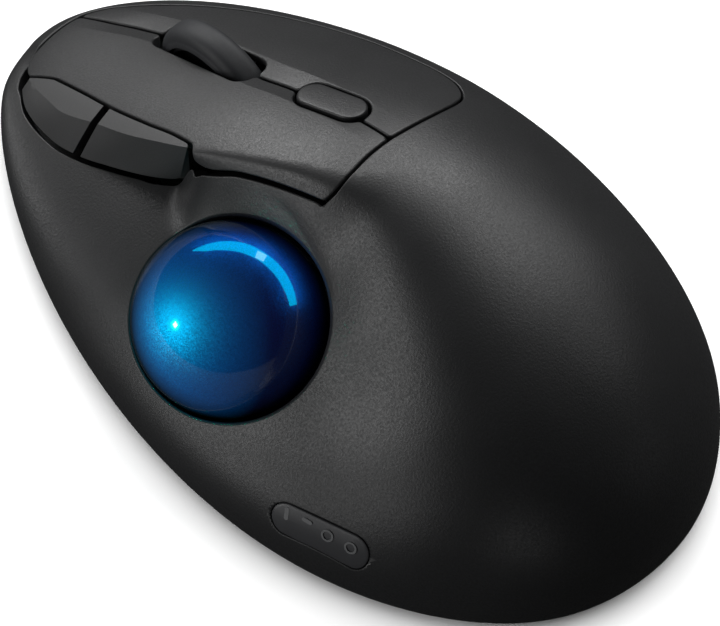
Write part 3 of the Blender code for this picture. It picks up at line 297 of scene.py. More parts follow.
class Skin:
    """Points, faces and one normal for each face corner, gathered into one object."""

    def __init__(self):
        self.points, self.faces, self.normals = np.zeros((0, 3)), [], []

    def add(self, points):
        """Adds points and returns their numbers."""
        start = len(self.points)
        self.points = np.concatenate([self.points, points])
        return np.arange(start, len(self.points))

    def keep(self, faces, normals):
        self.faces += faces.tolist()
        self.normals += normals.reshape(-1, 3).tolist()

    def fill(self, faces, normals):
        """Triangles with normals (m, 3, 3), each turned to face the way its normals do."""
        one, two, three = (self.points[faces[:, k]] for k in range(3))
        turn = (np.cross(two - one, three - one) * normals.mean(1)).sum(1) < 0
        faces, normals = faces.copy(), normals.copy()
        faces[turn], normals[turn] = faces[turn][:, ::-1], normals[turn][:, ::-1]
        self.keep(faces, normals)

    def strip(self, ring, other, ring_normals, other_normals):
        """Quads between two closed rings of the same length."""
        i = np.arange(len(ring))
        j = np.roll(i, -1)
        faces = np.stack([ring[i], ring[j], other[j], other[i]], 1)
        normals = np.stack(
            [ring_normals[i], ring_normals[j], other_normals[j], other_normals[i]], 1)
        corners = self.points[faces]
        facing = np.cross(corners[:, 2] - corners[:, 0], corners[:, 3] - corners[:, 1])
        if (facing * normals.mean(1)).sum() < 0:
            faces, normals = faces[:, ::-1], normals[:, ::-1]
        self.keep(faces, normals)

    def extend(self, ring, ring_normals, points, normals):
        """Adds a new ring joined to the last one, and returns it with its normals."""
        new = self.add(points)
        self.strip(ring, new, ring_normals, normals)
        return new, normals

    def make(self, name, finish):
        mesh = bpy.data.meshes.new(name)
        mesh.from_pydata((self.points * MM).tolist(), [], self.faces)
        mesh.polygons.foreach_set("use_smooth", np.ones(len(mesh.polygons), bool))
        mesh.normals_split_custom_set(self.normals)
        mesh.materials.append(finish)
        return link(name, mesh)


def hoop_faces(bm, pairs):
    """Quads between each pair of closed rings of vertices."""
    for ring, other in pairs:
        for i in range(len(ring)):
            j = (i + 1) % len(ring)
            bm.faces.new((ring[i], ring[j], other[j], other[i]))


def lathe(name, profile, at, axis, finish, steps, sharp=40):
    """Turned ring from a closed profile of (radius, height) about an axis through a point."""
    bm = bmesh.new()
    axis = Vector(axis).normalized()
    helper = Vector((1, 0, 0)) if abs(axis.x) < 0.9 else Vector((0, 1, 0))
    across = (helper - axis * helper.dot(axis)).normalized()
    onward = axis.cross(across)
    angles = np.linspace(0, 2 * math.pi, steps + 1)[:-1]
    rings = []
    for radius, height in profile:
        middle = Vector(at) + axis * height
        rings.append([
            bm.verts.new((middle + (across * math.cos(a) + onward * math.sin(a)) * radius) * MM)
            for a in angles])
    hoop_faces(bm, zip(rings, rings[1:] + rings[:1]))
    bmesh.ops.recalc_face_normals(bm, faces=bm.faces)
    obj = bmesh_object(name, bm, finish)
    obj.data.shade_smooth()
    obj.data.set_sharp_from_angle(angle=math.radians(sharp))
    return obj


def lofted(name, sections, finish, bevel=0.0, sharp=38):
    """Closed body skinned through equal sections, its hard edges rounded over or kept sharp."""
    bm = bmesh.new()
    rings = [[bm.verts.new(Vector(point) * MM) for point in section] for section in sections]
    hoop_faces(bm, zip(rings, rings[1:]))
    bm.faces.new(rings[0][::-1])
    bm.faces.new(rings[-1])
    bmesh.ops.recalc_face_normals(bm, faces=bm.faces)
    obj = bmesh_object(name, bm, finish)
    obj.data.shade_smooth()
    if not bevel:
        obj.data.set_sharp_from_angle(angle=math.radians(sharp))
        return obj
    rounding = obj.modifiers.new("round", "BEVEL")
    rounding.width, rounding.segments = bevel * MM, 3
    rounding.limit_method, rounding.angle_limit = "ANGLE", math.radians(sharp)
    rounding.harden_normals = True
    bpy.context.view_layer.update()
    shaped = obj.evaluated_get(bpy.context.evaluated_depsgraph_get())
    done = bpy.data.meshes.new_from_object(shaped)
    obj.modifiers.clear()
    obj.data = done
    return obj


# ---------------------------------------------------------------- lines and outlines in plan
def unit(vectors):
    return vectors / np.maximum(np.linalg.norm(vectors, axis=-1, keepdims=True), 1e-12)


def left_of(way):
    return np.array((-way[1], way[0]))


def run_lengths(points):
    """Distance along an open path at each of its points."""
    return np.concatenate([[0], np.cumsum(np.hypot(*np.diff(points, axis=0).T))])


def dense(points, step=0.1):
    """Smooth path through the points, evenly spaced."""
    points = np.array(points, float)
    length = run_lengths(points)
    at = np.linspace(0, length[-1], max(2, int(round(length[-1] / step)) + 1))
    return np.stack([smooth_curve(length, points[:, k])(at) for k in (0, 1)], -1)


def along(points):
    """A function giving the points at shares 0 to 1 of a smooth path's length."""
    path = dense(points)
    share = run_lengths(path)
    share /= share[-1]
    return lambda at: np.stack([np.interp(at, share, path[:, k]) for k in (0, 1)], -1)


def resampled(loop, count):
    closed = np.vstack([loop, loop[:1]])
    length = run_lengths(closed)
    at = np.linspace(0, length[-1], count + 1)[:-1]
    return np.stack([np.interp(at, length, closed[:, k]) for k in (0, 1)], -1)


def area(loop):
    after = np.roll(loop, -1, 0)
    return (loop[:, 0] * after[:, 1] - after[:, 0] * loop[:, 1]).sum() / 2


def softened(loop, corner, step):
    """Closed outline with its corners eased, turned anticlockwise, evenly spaced."""
    loop = np.asarray(loop, float)
    if area(loop) < 0:
        loop = loop[::-1]
    length = np.hypot(*(np.roll(loop, -1, 0) - loop).T).sum()
    fine = 0.06
    count = int(length / fine)
    points = resampled(loop, count)
    if corner:
        wave = np.fft.fft(points[:, 0] + 1j * points[:, 1])
        blur = np.exp(-2 * (np.pi * np.fft.fftfreq(count) * corner / fine) ** 2)
        back = np.fft.ifft(wave * blur)
        points = np.stack([back.real, back.imag], -1)
    return resampled(points, max(12, int(length / step)))


def out_of(loop):
    """Plan normals pointing out of the material: outlines run anticlockwise, holes clockwise."""
    run = np.roll(loop, -1, 0) - np.roll(loop, 1, 0)
    return unit(np.stack([run[:, 1], -run[:, 0]], -1))


def arcs(corners, radius, sweep, count):
    """Arcs about corners given as (x, y, starting angle)."""
    out = []
    for x, y, start in corners:
        for i in range(count + 1):
            angle = math.radians(start + sweep * i / count)
            out.append((x + radius * math.cos(angle), y + radius * math.sin(angle)))
    return np.array(out)


def stadium(half, radius, count=24):
    return arcs(((half, 0, -90), (-half, 0, 90)), radius, 180, count)


def round_box(x0, x1, y0, y1, radius, count=14):
    left, right, rear, front = x0 + radius, x1 - radius, y0 + radius, y1 - radius
    corners = ((right, front, 0), (left, front, 90), (left, rear, 180), (right, rear, 270))
    return arcs(corners, radius, 90, count)


def circle(x, y, radius):
    angle = np.linspace(0, 2 * np.pi, 49)[:-1]
    return np.array((x, y)) + radius * heading(angle)


def placed(shape, at, way, side):
    """A flat shape moved to a place, its two axes laid along the given directions."""
    return np.array(at) + shape[:, :1] * way + shape[:, 1:] * side


def inside(points, loop):
    start, end = loop, np.roll(loop, -1, 0)
    rise = np.where(end[:, 1] == start[:, 1], 1e-12, end[:, 1] - start[:, 1])
    rate = (end[:, 0] - start[:, 0]) / rise
    out = np.zeros(len(points), bool)
    for first in range(0, len(points), 4000):
        x, y = points[first:first + 4000, 0][:, None], points[first:first + 4000, 1][:, None]
        spans = (start[None, :, 1] > y) != (end[None, :, 1] > y)
        cross = start[None, :, 0] + (y - start[None, :, 1]) * rate[None]
        out[first:first + 4000] = (spans & (x < cross)).sum(1) % 2 == 1
    return out


def within(points, loops):
    """Whether points are inside the first outline and outside the others."""
    keep = inside(points, loops[0])
    for hole in loops[1:]:
        keep &= ~inside(points, hole)
    return keep


def nearest(points, loops):
    """Distance to the nearest outline, and the unit direction to it."""
    start = np.concatenate(loops)
    run = np.concatenate([np.roll(loop, -1, 0) for loop in loops]) - start
    run_squared = np.maximum((run**2).sum(1), 1e-12)
    distance, way = np.zeros(len(points)), np.zeros((len(points), 2))
    for first in range(0, len(points), 1500):
        some = points[first:first + 1500]
        share = ((some[:, None] - start[None]) * run[None]).sum(2) / run_squared
        share = np.clip(share, 0, 1)
        to_line = start[None] + share[..., None] * run[None] - some[:, None]
        away = np.hypot(to_line[..., 0], to_line[..., 1])
        pick = np.arange(len(some)), away.argmin(1)
        distance[first:first + 1500] = away[pick]
        way[first:first + 1500] = to_line[pick] / np.maximum(away[pick], 1e-9)[:, None]
    return distance, way


def to_borders(plan, loops, start):
    """As nearest(), but exact for the loops' own points, which begin at number start in plan."""
    near, way = nearest(plan, loops)
    own = slice(start, start + sum(len(loop) for loop in loops))
    near[own] = 0
    way[own] = np.concatenate([out_of(loop) for loop in loops])
    return near, way


def bitten(path, loop, side):
    """Path with its part inside a loop led round the loop's border (-1 left, +1 right)."""
    ring = softened(loop, 0, 0.06)
    hit = np.nonzero(inside(path, ring))[0]
    first, last = hit[0], hit[-1]
    i = np.hypot(*(ring - path[first]).T).argmin()
    j = np.hypot(*(ring - path[last]).T).argmin()
    count = len(ring)
    onward = ring[np.arange(i, i + (j - i) % count + 1) % count]
    back = ring[np.arange(i, i - (i - j) % count - 1, -1) % count]
    detour = max((onward, back), key=lambda run: side * run[:, 0].mean())
    return np.concatenate([path[:first], detour, path[last + 1:]])


# ---------------------------------------------------------------- sheets on a height field
def hex_grid(loop, step):
    """Staggered grid over the box of an outline."""
    low, high = loop.min(0), loop.max(0)
    out = []
    for k, y in enumerate(np.arange(low[1], high[1], step * 0.866)):
        x = np.arange(low[0] + (step / 2 if k % 2 else 0), high[0], step)
        out.append(np.stack([x, np.full_like(x, y)], -1))
    return np.concatenate(out)


def clear_of(points, loops, gap):
    """The points within the loops that stay clear of their borders by a gap."""
    points = points[within(points, loops)]
    return points[nearest(points, loops)[0] > gap]


def thinned(points, others, gap):
    """The points that stay clear of the others by a gap, on a coarse hash."""
    taken = {}
    for other in others:
        taken.setdefault((int(other[0] // gap), int(other[1] // gap)), []).append(other)
    keep = []
    for i, (x, y) in enumerate(points):
        column, row = int(x // gap), int(y // gap)
        if all((x - other[0]) ** 2 + (y - other[1]) ** 2 >= gap * gap
               for dx in (-1, 0, 1) for dy in (-1, 0, 1)
               for other in taken.get((column + dx, row + dy), ())):
            keep.append(i)
    return points[keep]


def triangles(loops, extra):
    """Delaunay triangles within the loops, as numbers of loops + extra points."""
    points = np.concatenate(list(loops) + [extra])
    edges, start = [], 0
    for loop in loops:
        count = len(loop)
        edges += [(start + i, start + (i + 1) % count) for i in range(count)]
        start += count
    _, _, faces, sources, _, _ = delaunay_2d_cdt(
        [Vector(point) for point in points.tolist()], edges, [], 0, 1e-6, True)
    number = np.array([source[0] if source else -1 for source in sources])
    faces = number[np.array([list(face) for face in faces])]
    faces = faces[(faces >= 0).all(1)]
    faces = faces[within(points[faces].mean(1), loops)]
    corner = points[faces[:, 0]]
    one, two = points[faces[:, 1]] - corner, points[faces[:, 2]] - corner
    return faces[np.abs(one[:, 0] * two[:, 1] - one[:, 1] * two[:, 0]) > 1e-9]


def slopes(height, plan, step=0.04):
    x, y = plan.T
    return np.stack([(height(x + step, y) - height(x - step, y)) / (2 * step),
                     (height(x, y + step) - height(x, y - step)) / (2 * step)], -1)


def on_surface(height, plan):
    """Points of a height field over the plan, with its slopes and normals."""
    slope = slopes(height, plan)
    normals = unit(np.column_stack([-slope, np.ones(len(plan))]))
    return np.column_stack([plan, height(*plan.T)]), slope, normals


def edge_rings(loop, height, edge):
    """Rings for the rounded border of an outline, spaced so that it is true on a slope."""
    out = out_of(loop)
    stretch = np.sqrt(1 + (slopes(height, loop) * out).sum(1) ** 2)
    insets = [edge * (1 - math.sin(angle)) for angle in np.radians((60, 30, 0))] + [edge + 0.45]
    return [(loop - out * (inset / stretch)[:, None], inset / stretch) for inset in insets]


def rounded(points, normals, near, way, rise, edge):
    """Points dropped and normals turned within the rounded border, and the border's normals."""
    out = unit(np.column_stack([way, rise]))
    sine = np.clip(1 - near * np.sqrt(1 + rise**2) / edge, 0, 1)[:, None]
    cosine = np.sqrt(1 - sine * sine)
    return points - normals * (edge * (1 - cosine)), normals * cosine + out * sine, out


def plate(skin, loop, height, edge, step, wall, lip, creases, dense_where):
    """Closed sheet on a height field: rounded border, walls square to it, and an inner side."""
    loops = [loop]
    rings = []
    for points, inset in edge_rings(loop, height, edge):
        keep = inside(points, loop)
        points, inset = points[keep], inset[keep]
        rings.append(points[nearest(points, loops)[0] > 0.96 * inset])
    rings = np.concatenate(rings)
    extra = np.concatenate([rings, thinned(clear_of(creases, loops, edge + 0.1), rings, 0.12)])
    tight = clear_of(hex_grid(loop, step * 0.5), loops, edge + 0.2)
    tight = tight[dense_where(*tight.T)]
    extra = np.concatenate([extra, thinned(tight, extra, step * 0.25)])
    grid = clear_of(hex_grid(loop, step), loops, edge + 0.3)
    extra = np.concatenate([extra, thinned(grid, extra, step * 0.4)])
    # upper side
    faces = triangles(loops, extra)
    plan = np.concatenate([loop, extra])
    top, slope, normals = on_surface(height, plan)
    near, way = to_borders(plan, loops, 0)
    top, top_normals, out = rounded(top, normals, near, way, (slope * way).sum(1), edge)
    upper = skin.add(top)
    skin.fill(upper[faces], top_normals[faces])
    # inner side
    grid = clear_of(hex_grid(loop, 3.0), loops, 1.4)
    faces = triangles(loops, grid)
    under, _, normals = on_surface(height, np.concatenate([loop, grid]))
    depth = np.full(len(under), float(wall))
    depth[:len(loop)] = lip
    lower = skin.add(under - normals * depth[:, None])
    skin.fill(lower[faces], -normals[faces])
    border = slice(len(loop))
    skin.strip(upper[border], lower[border], out[border], out[border])


# ---------------------------------------------------------------- materials
def graph(name):
    material = bpy.data.materials.new(name)
    material.use_nodes = True
    tree = material.node_tree
    return material, tree, tree.nodes["Principled BSDF"]


def node(tree, kind, **values):
    """A shader node with properties and inputs set; _ stands for a space in an input's name."""
    new = tree.nodes.new(kind)
    for key, value in values.items():
        if hasattr(new, key):
            setattr(new, key, value)
        else:
            new.inputs[key.replace("_", " ")].default_value = value
    return new


def object_place(tree):
    return node(tree, "ShaderNodeTexCoord").outputs["Object"]


def noise(tree, where, size, detail=2.0, rough=0.55):
    """Noise with features of about this size in mm."""
    new = node(tree, "ShaderNodeTexNoise", Scale=1 / (size * MM), Detail=detail, Roughness=rough)
    tree.links.new(where, new.inputs["Vector"])
    return new.outputs["Fac"]


def spread(tree, value, low, high, start=0.3, end=0.7):
    """Maps start..end onto low..high."""
    new = node(tree, "ShaderNodeMapRange", From_Min=start, From_Max=end, To_Min=low, To_Max=high)
    tree.links.new(value, new.inputs["Value"])
    return new.outputs["Result"]


def combined(tree, first, second, operation="MULTIPLY"):
    new = node(tree, "ShaderNodeMath", operation=operation)
    tree.links.new(first, new.inputs[0])
    tree.links.new(second, new.inputs[1])
    return new.outputs[0]


def shaded(tree, colour, factor):
    new = node(tree, "ShaderNodeVectorMath", operation="SCALE")
    new.inputs[0].default_value = colour
    tree.links.new(factor, new.inputs["Scale"])
    return new.outputs["Vector"]


def plastic(name, colour, rough, grain=0.26, depth=0.02, speckle=0.10, cloud=0.05,
            metallic=0.0, clear=0.0, sheen=0.04):
    """Moulded plastic: fine relief, a light speckle, and slow changes in tone and gloss.

    grain and depth are the relief's size and height; speckle and cloud are the fine and the
    slow changes in tone; sheen is the fine change in roughness.
    """
    material, tree, shader = graph(name)
    link_nodes = tree.links.new
    where = object_place(tree)
    fine = noise(tree, where, grain, detail=2.5, rough=0.6)
    broad = noise(tree, where, size=14.0, rough=0.5)
    tone = combined(tree, spread(tree, fine, 1 - speckle, 1 + speckle),
                    spread(tree, broad, 1 - cloud, 1 + cloud))
    link_nodes(shaded(tree, colour, tone), shader.inputs["Base Color"])
    gloss = combined(tree, spread(tree, fine, rough + sheen, rough - sheen),
                     spread(tree, broad, low=-0.02, high=0.02), "ADD")
    link_nodes(gloss, shader.inputs["Roughness"])
    bump = node(tree, "ShaderNodeBump", Strength=1.0, Distance=depth * MM)
    link_nodes(fine, bump.inputs["Height"])
    link_nodes(bump.outputs["Normal"], shader.inputs["Normal"])
    shader.inputs["Metallic"].default_value = metallic
    shader.inputs["Transmission Weight"].default_value = clear
    return material


def pearl(name):
    """Blue pearl: a deep pigment, fine cyan flakes and a clear gloss over both; pigment and
    flakes carry painted shade towards the ball's outline.
    """
    material, tree, pigment = graph(name)
    link_nodes = tree.links.new
    flakes = node(tree, "ShaderNodeTexVoronoi", Scale=1 / (0.17 * MM))
    link_nodes(object_place(tree), flakes.inputs["Vector"])
    split = node(tree, "ShaderNodeSeparateColor")
    link_nodes(flakes.outputs["Color"], split.inputs["Color"])
    # painted shade: the colour darkens as the surface turns away from the view, standing in for
    # the shadow and dark reflections at the rim of the opening
    rim = node(tree, "ShaderNodeLayerWeight", Blend=0.5)
    rim = spread(tree, rim.outputs["Facing"], low=1.0, high=0.04, start=0.45, end=0.85)

    def flecked_and_rim_shaded(colour, channel, low, high):
        """A colour that varies by flake, with painted shade that darkens it towards the ball's
        outline.
        """
        fleck = spread(tree, split.outputs[channel], low, high, start=0.0, end=1.0)
        return shaded(tree, colour, combined(tree, rim, fleck))

    link_nodes(flecked_and_rim_shaded((0.03, 0.035, 0.42), "Green", low=0.8, high=1.2),
               pigment.inputs["Base Color"])
    pigment.inputs["Roughness"].default_value = 0.5
    pigment.inputs["Specular IOR Level"].default_value = 0.2
    # each flake is tilted a little by its own random colour
    tilt = node(tree, "ShaderNodeVectorMath", operation="SUBTRACT")
    link_nodes(flakes.outputs["Color"], tilt.inputs[0])
    tilt.inputs[1].default_value = (0.5, 0.5, 0.5)
    small = node(tree, "ShaderNodeVectorMath", operation="SCALE", Scale=0.14)
    link_nodes(tilt.outputs["Vector"], small.inputs[0])
    face = node(tree, "ShaderNodeNewGeometry")
    leaning = node(tree, "ShaderNodeVectorMath", operation="ADD")
    link_nodes(face.outputs["Normal"], leaning.inputs[0])
    link_nodes(small.outputs["Vector"], leaning.inputs[1])
    flake_normal = node(tree, "ShaderNodeVectorMath", operation="NORMALIZE")
    link_nodes(leaning.outputs["Vector"], flake_normal.inputs[0])
    mica = node(tree, "ShaderNodeBsdfAnisotropic", Roughness=0.55)
    link_nodes(flecked_and_rim_shaded((0.0, 0.32, 0.95), "Red", low=0.72, high=1.28), mica.inputs["Color"])
    link_nodes(flake_normal.outputs["Vector"], mica.inputs["Normal"])
    gloss = node(tree, "ShaderNodeBsdfAnisotropic", Roughness=0.06, Color=(0.9, 0.97, 1.0, 1))
    flaked = node(tree, "ShaderNodeMixShader", Fac=0.5)
    glossed = node(tree, "ShaderNodeMixShader", Fac=0.23)
    link_nodes(pigment.outputs["BSDF"], flaked.inputs[1])
    link_nodes(mica.outputs["BSDF"], flaked.inputs[2])
    link_nodes(flaked.outputs["Shader"], glossed.inputs[1])
    link_nodes(gloss.outputs["BSDF"], glossed.inputs[2])
    link_nodes(glossed.outputs["Shader"], tree.nodes["Material Output"].inputs["Surface"])
    return material


COARSE = dict(grain=0.42, speckle=0.3, depth=0.045, sheen=0.08)
CASE = plastic("case_finish", (0.022, 0.0225, 0.0235), rough=0.40, **COARSE)
KEY = plastic("key_finish", (0.026, 0.0265, 0.0275), rough=0.40, **COARSE)
SIDE = plastic("thumb_key_finish", (0.055, 0.0555, 0.0565), rough=0.43, depth=0.01)
BASE = plastic("base_finish", (0.03, 0.031, 0.032), rough=0.6)
BLUE = pearl("ball_finish")
RUBBER = plastic("rubber_finish", (0.022, 0.0235, 0.0265), rough=0.6, grain=0.5, depth=0.006,
                 speckle=0.06)
HUB = plastic("hub_finish", (0.012, 0.012, 0.013), rough=0.4, depth=0.006)
SMOKE = plastic("window_finish", (0.05, 0.051, 0.055), rough=0.36, grain=0.5, depth=0.003,
                speckle=0.05)
MARK = plastic("window_mark_finish", (0.15, 0.153, 0.158), rough=0.45, grain=0.5, depth=0.003,
               speckle=0.05)
CUP = plastic("cup_finish", (0.012, 0.012, 0.013), rough=0.45, depth=0.01)
BEAD = plastic("ceramic_finish", (0.8, 0.8, 0.77), rough=0.15, grain=1.0, depth=0.002,
               speckle=0.02, cloud=0.02)
BOARD = plastic("board_finish", (0.004, 0.014, 0.009), rough=0.5, grain=0.8, depth=0.01,
                speckle=0.12, cloud=0.12)
SWITCH = plastic("switch_finish", (0.02, 0.02, 0.021), rough=0.5, depth=0.01)
RED = plastic("plunger_finish", (0.3, 0.04, 0.03), rough=0.4, depth=0.005)
STEEL = plastic("steel_finish", (0.55, 0.55, 0.56), rough=0.3, grain=0.4, depth=0.004,
                speckle=0.05, metallic=1.0)
CLEAR = plastic("optic_finish", (0.8, 0.85, 0.9), rough=0.08, grain=2.0, depth=0.001,
                speckle=0.02, clear=0.85)
CELL = plastic("cell_finish", (0.12, 0.13, 0.15), rough=0.35, grain=0.6, depth=0.004,
               metallic=0.3)
PAD = plastic("pad_finish", (0.5, 0.5, 0.5), rough=0.4, grain=0.5, depth=0.01, speckle=0.05)
CARRIER = plastic("carrier_finish", (0.03, 0.03, 0.032), rough=0.5, depth=0.01)
CABLE = plastic("cable_finish", (0.3, 0.3, 0.29), rough=0.5, depth=0.006)

FINISH = {
    "sensor_chip": SWITCH, "encoder_body": SWITCH, "ball_cup": CUP, "scroll_axle": STEEL,
    "wheel_carrier": CARRIER, "encoder_rotor": CARRIER, "main_board": BOARD,
    "side_board": BOARD, "upper_board": BOARD, "sensor_board": BOARD, "status_board": BOARD,
    "sensor_lens": CLEAR, "light_guide": CLEAR, "sensor_cable": CABLE,
    "power_switch_body": STEEL, "power_switch_knob": PAD, "button_hinge_rod": STEEL,
    "aa_cell": CELL, "positive_contact": STEEL, "negative_contact": STEEL,
    "contact_spring": STEEL,
}
FINISH_BY_START = {"bearing_bead": BEAD, "case_screw": STEEL, "foot_": PAD}
FINISH_BY_END = {"_switch_body": SWITCH, "_plunger": RED}


def finish_of(name):
    if name in FINISH:
        return FINISH[name]
    for start, finish in FINISH_BY_START.items():
        if name.startswith(start):
            return finish
    for end, finish in FINISH_BY_END.items():
        if name.endswith(end):
            return finish
    return BASE


for node_name, cad_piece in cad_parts.items():
    cad_piece.data.materials.clear()
    cad_piece.data.materials.append(finish_of(node_name))


# ---------------------------------------------------------------- button panels
wheel_slot = round_box(*WHEEL_SLOT_X, *WHEEL_SLOT_Y, WHEEL_SLOT_R)
speed_way = unit(np.array(SPEED_WAY))


def speed_outline(radius, count=24):
    return placed(stadium(SPEED_HALF, radius, count), SPEED_AT, speed_way, left_of(speed_way))


def split_side(side):
    """A panel's border along the split, led round the wheel slot and the speed button."""
    y = np.linspace(72.3, -0.9, 740)
    line = np.stack([split_x(y) + side * SEAM / 2, y], -1)
    line = bitten(line, wheel_slot, side)
    return bitten(line, speed_outline(SPEED_R + SPEED_GAP), side)[8:-4]


def trough_creases():
    """Points close on either side of the trough's two rims."""
    y = np.arange(0.0, 72.0, 0.45)
    return np.concatenate([np.stack([split_x(y) + rim + off, y], -1)
                           for rim in (-TROUGH_LEFT, TROUGH_RIGHT) for off in (-0.14, 0.14)])


def on_panel_flank(x, y):
    share = flank(x, y)
    return (share > 0.005) & (share < 0.995) & (y < 30) & (x < 0)


def button_panels():
    left = np.concatenate([dense(LEFT_EDGE), dense(FRONT_LEFT), split_side(-1),
                           dense(REAR_LEFT)[::-1]])
    right = np.concatenate([dense(REAR_RIGHT), dense(RIGHT_EDGE), dense(FRONT_RIGHT)[::-1],
                            split_side(1)])
    for button, loop, lip in (("left_button", left, 2.6), ("right_button", right, 1.4)):
        skin = Skin()
        plate(skin, softened(loop, corner=0.3, step=0.42), panel_z, edge=0.38, step=0.95,
              wall=PANEL_WALL, lip=lip, creases=trough_creases(), dense_where=on_panel_flank)
        settle(skin.make(button + "_panel", KEY), button, button)


button_panels()

# ---------------------------------------------------------------- top case
SPREAD = 1.3  # stretch of the chart against the plan
CASE_EDGE, BALL_EDGE, CASE_LIP = 0.3, 0.6, 2.6
# Curl of the lower rim: inset = RIM_CURL * drop ** RIM_POWER below the widest height
RIM_CURL, RIM_POWER = 0.15, 2.2
# z, further inset, further downward lean of the normal
RIM_RINGS = ((5.5, 0.0, 0.0), (5.0, 0.0, 0.0), (4.6, 0.0, 0.0), (4.3, 0.0, 0.0),
             (4.1, 0.03, 0.3), (CASE_BOTTOM_Z, 0.12, 1.2))


def unroll(plan):
    """Plan to chart: a flat map in which the steep rim of the dome is spread out."""
    angle, distance = polar(*plan.T)
    radius = edge_radius(angle)
    out = np.arcsin(np.clip(distance / radius, 0, 1)) * 2 / np.pi * SPREAD * radius
    return out[:, None] * heading(angle)


def chart_polar(chart):
    """Angle in the chart, radius of the plan outline there, and distance as a share of it."""
    angle = np.arctan2(chart[:, 1], chart[:, 0])
    radius = edge_radius(angle)
    return angle, radius, np.hypot(chart[:, 0], chart[:, 1]) / (radius * SPREAD)


def roll(chart):
    """Chart back to plan."""
    angle, radius, share = chart_polar(chart)
    distance = np.sin(np.clip(share, 0, 1) * np.pi / 2) * radius
    return CENTRE + distance[:, None] * heading(angle)


def case_at(chart):
    plan = roll(chart)
    return np.column_stack([plan, case_z(*plan.T)])


def case_normal(chart, step=0.06):
    _, _, share = chart_polar(chart)
    chart = chart * np.minimum(1, 0.996 / np.maximum(share, 1e-9))[:, None]
    across = case_at(chart + [step, 0]) - case_at(chart - [step, 0])
    onward = case_at(chart + [0, step]) - case_at(chart - [0, step])
    return unit(np.cross(across, onward))


def ball_ring(radius):
    """Where a tube of this radius about the ball's axis meets the case, and its inward way."""
    across = np.array((1.0, 0, 0)) - BALL_AXIS * BALL_AXIS[0]
    across /= np.linalg.norm(across)
    turn = np.linspace(0, 2 * np.pi, 241)[:-1]
    side = np.cos(turn)[:, None] * across + np.sin(turn)[:, None] * np.cross(BALL_AXIS, across)
    base = BALL_AT + side * radius
    low, high = np.full(len(turn), -15.0), np.full(len(turn), 25.0)
    for _ in range(44):
        middle = (low + high) / 2
        point = base + middle[:, None] * BALL_AXIS
        above = point[:, 2] > case_z(point[:, 0], point[:, 1])
        high, low = np.where(above, middle, high), np.where(above, low, middle)
    return base + ((low + high) / 2)[:, None] * BALL_AXIS, -side


def on_case_slope(way):
    """A plan direction tilted to the case's slope at the window."""
    rise = case_z(*(WINDOW_AT + way * 0.5)) - case_z(*(WINDOW_AT - way * 0.5))
    return unit(np.array((*way, float(rise))))


window_plan_way = unit(np.array(WINDOW_WAY))
window_way = on_case_slope(window_plan_way)
window_normal = unit(np.cross(on_case_slope(-left_of(window_plan_way)), window_way))
window_side = np.cross(window_normal, window_way)
window_at = np.array((*WINDOW_AT, float(case_z(*np.array(WINDOW_AT)))))
window_half = (WINDOW_LENGTH - WINDOW_WIDTH) / 2


def case_opening():
    """Opening for the buttons: their borders, a seam wider. Slices drop points at the joints."""
    foot, skirt = dense(SIDE_FOOT, 0.2), dense(LEFT_EDGE[:LEFT_EDGE_TURN], 0.2)
    return softened(np.concatenate([
        dense(REAR_LEFT)[4:] - [0, SEAM],
        dense(REAR_RIGHT)[:-6] - [0, SEAM],
        dense(RIGHT_EDGE) + [SEAM, 0],
        dense(FRONT_RIGHT)[::-1][3:] + [0.0, SEAM],
        dense(FRONT_LEFT)[::-1][:-34] + [0, SEAM],
        # front left corner
        np.array([(-9.6, 71.6), (-11.6, 70.9), (-13.5, 69.5)]),
        foot[foot[:, 1] > 34.0][::-1][6:] - [0.5, 0],
        # round the rear end of the thumb keys
        np.array([(-14.46, 32.2), (-13.65, 30.4), (-12.8, 28.8), (-12.15, 27.8), (-11.5, 27.2),
                  (-11.1, 26.8), (-10.85, 26.2), (-10.75, 25.4), (-10.95, 24.6),
                  (-11.35, 23.9), (-11.9, 23.0), (-12.05, 22.2), (-11.88, 21.5)]),
        skirt[skirt[:, 1] < 21.2][::-1][:-3] - [0.5, 0.0],
        np.array([(-5.6, -2.0)]),
    ]), corner=0.32, step=0.45)


outline = softened(envelope, corner=0, step=0.7)
outline_out = out_of(outline)


def outline_ring(inset, z):
    return np.column_stack([outline - outline_out * inset, np.full(len(outline), z)])


def outline_normals(outward, z):
    return unit(np.column_stack([outline_out * outward, np.full(len(outline), float(z))]))


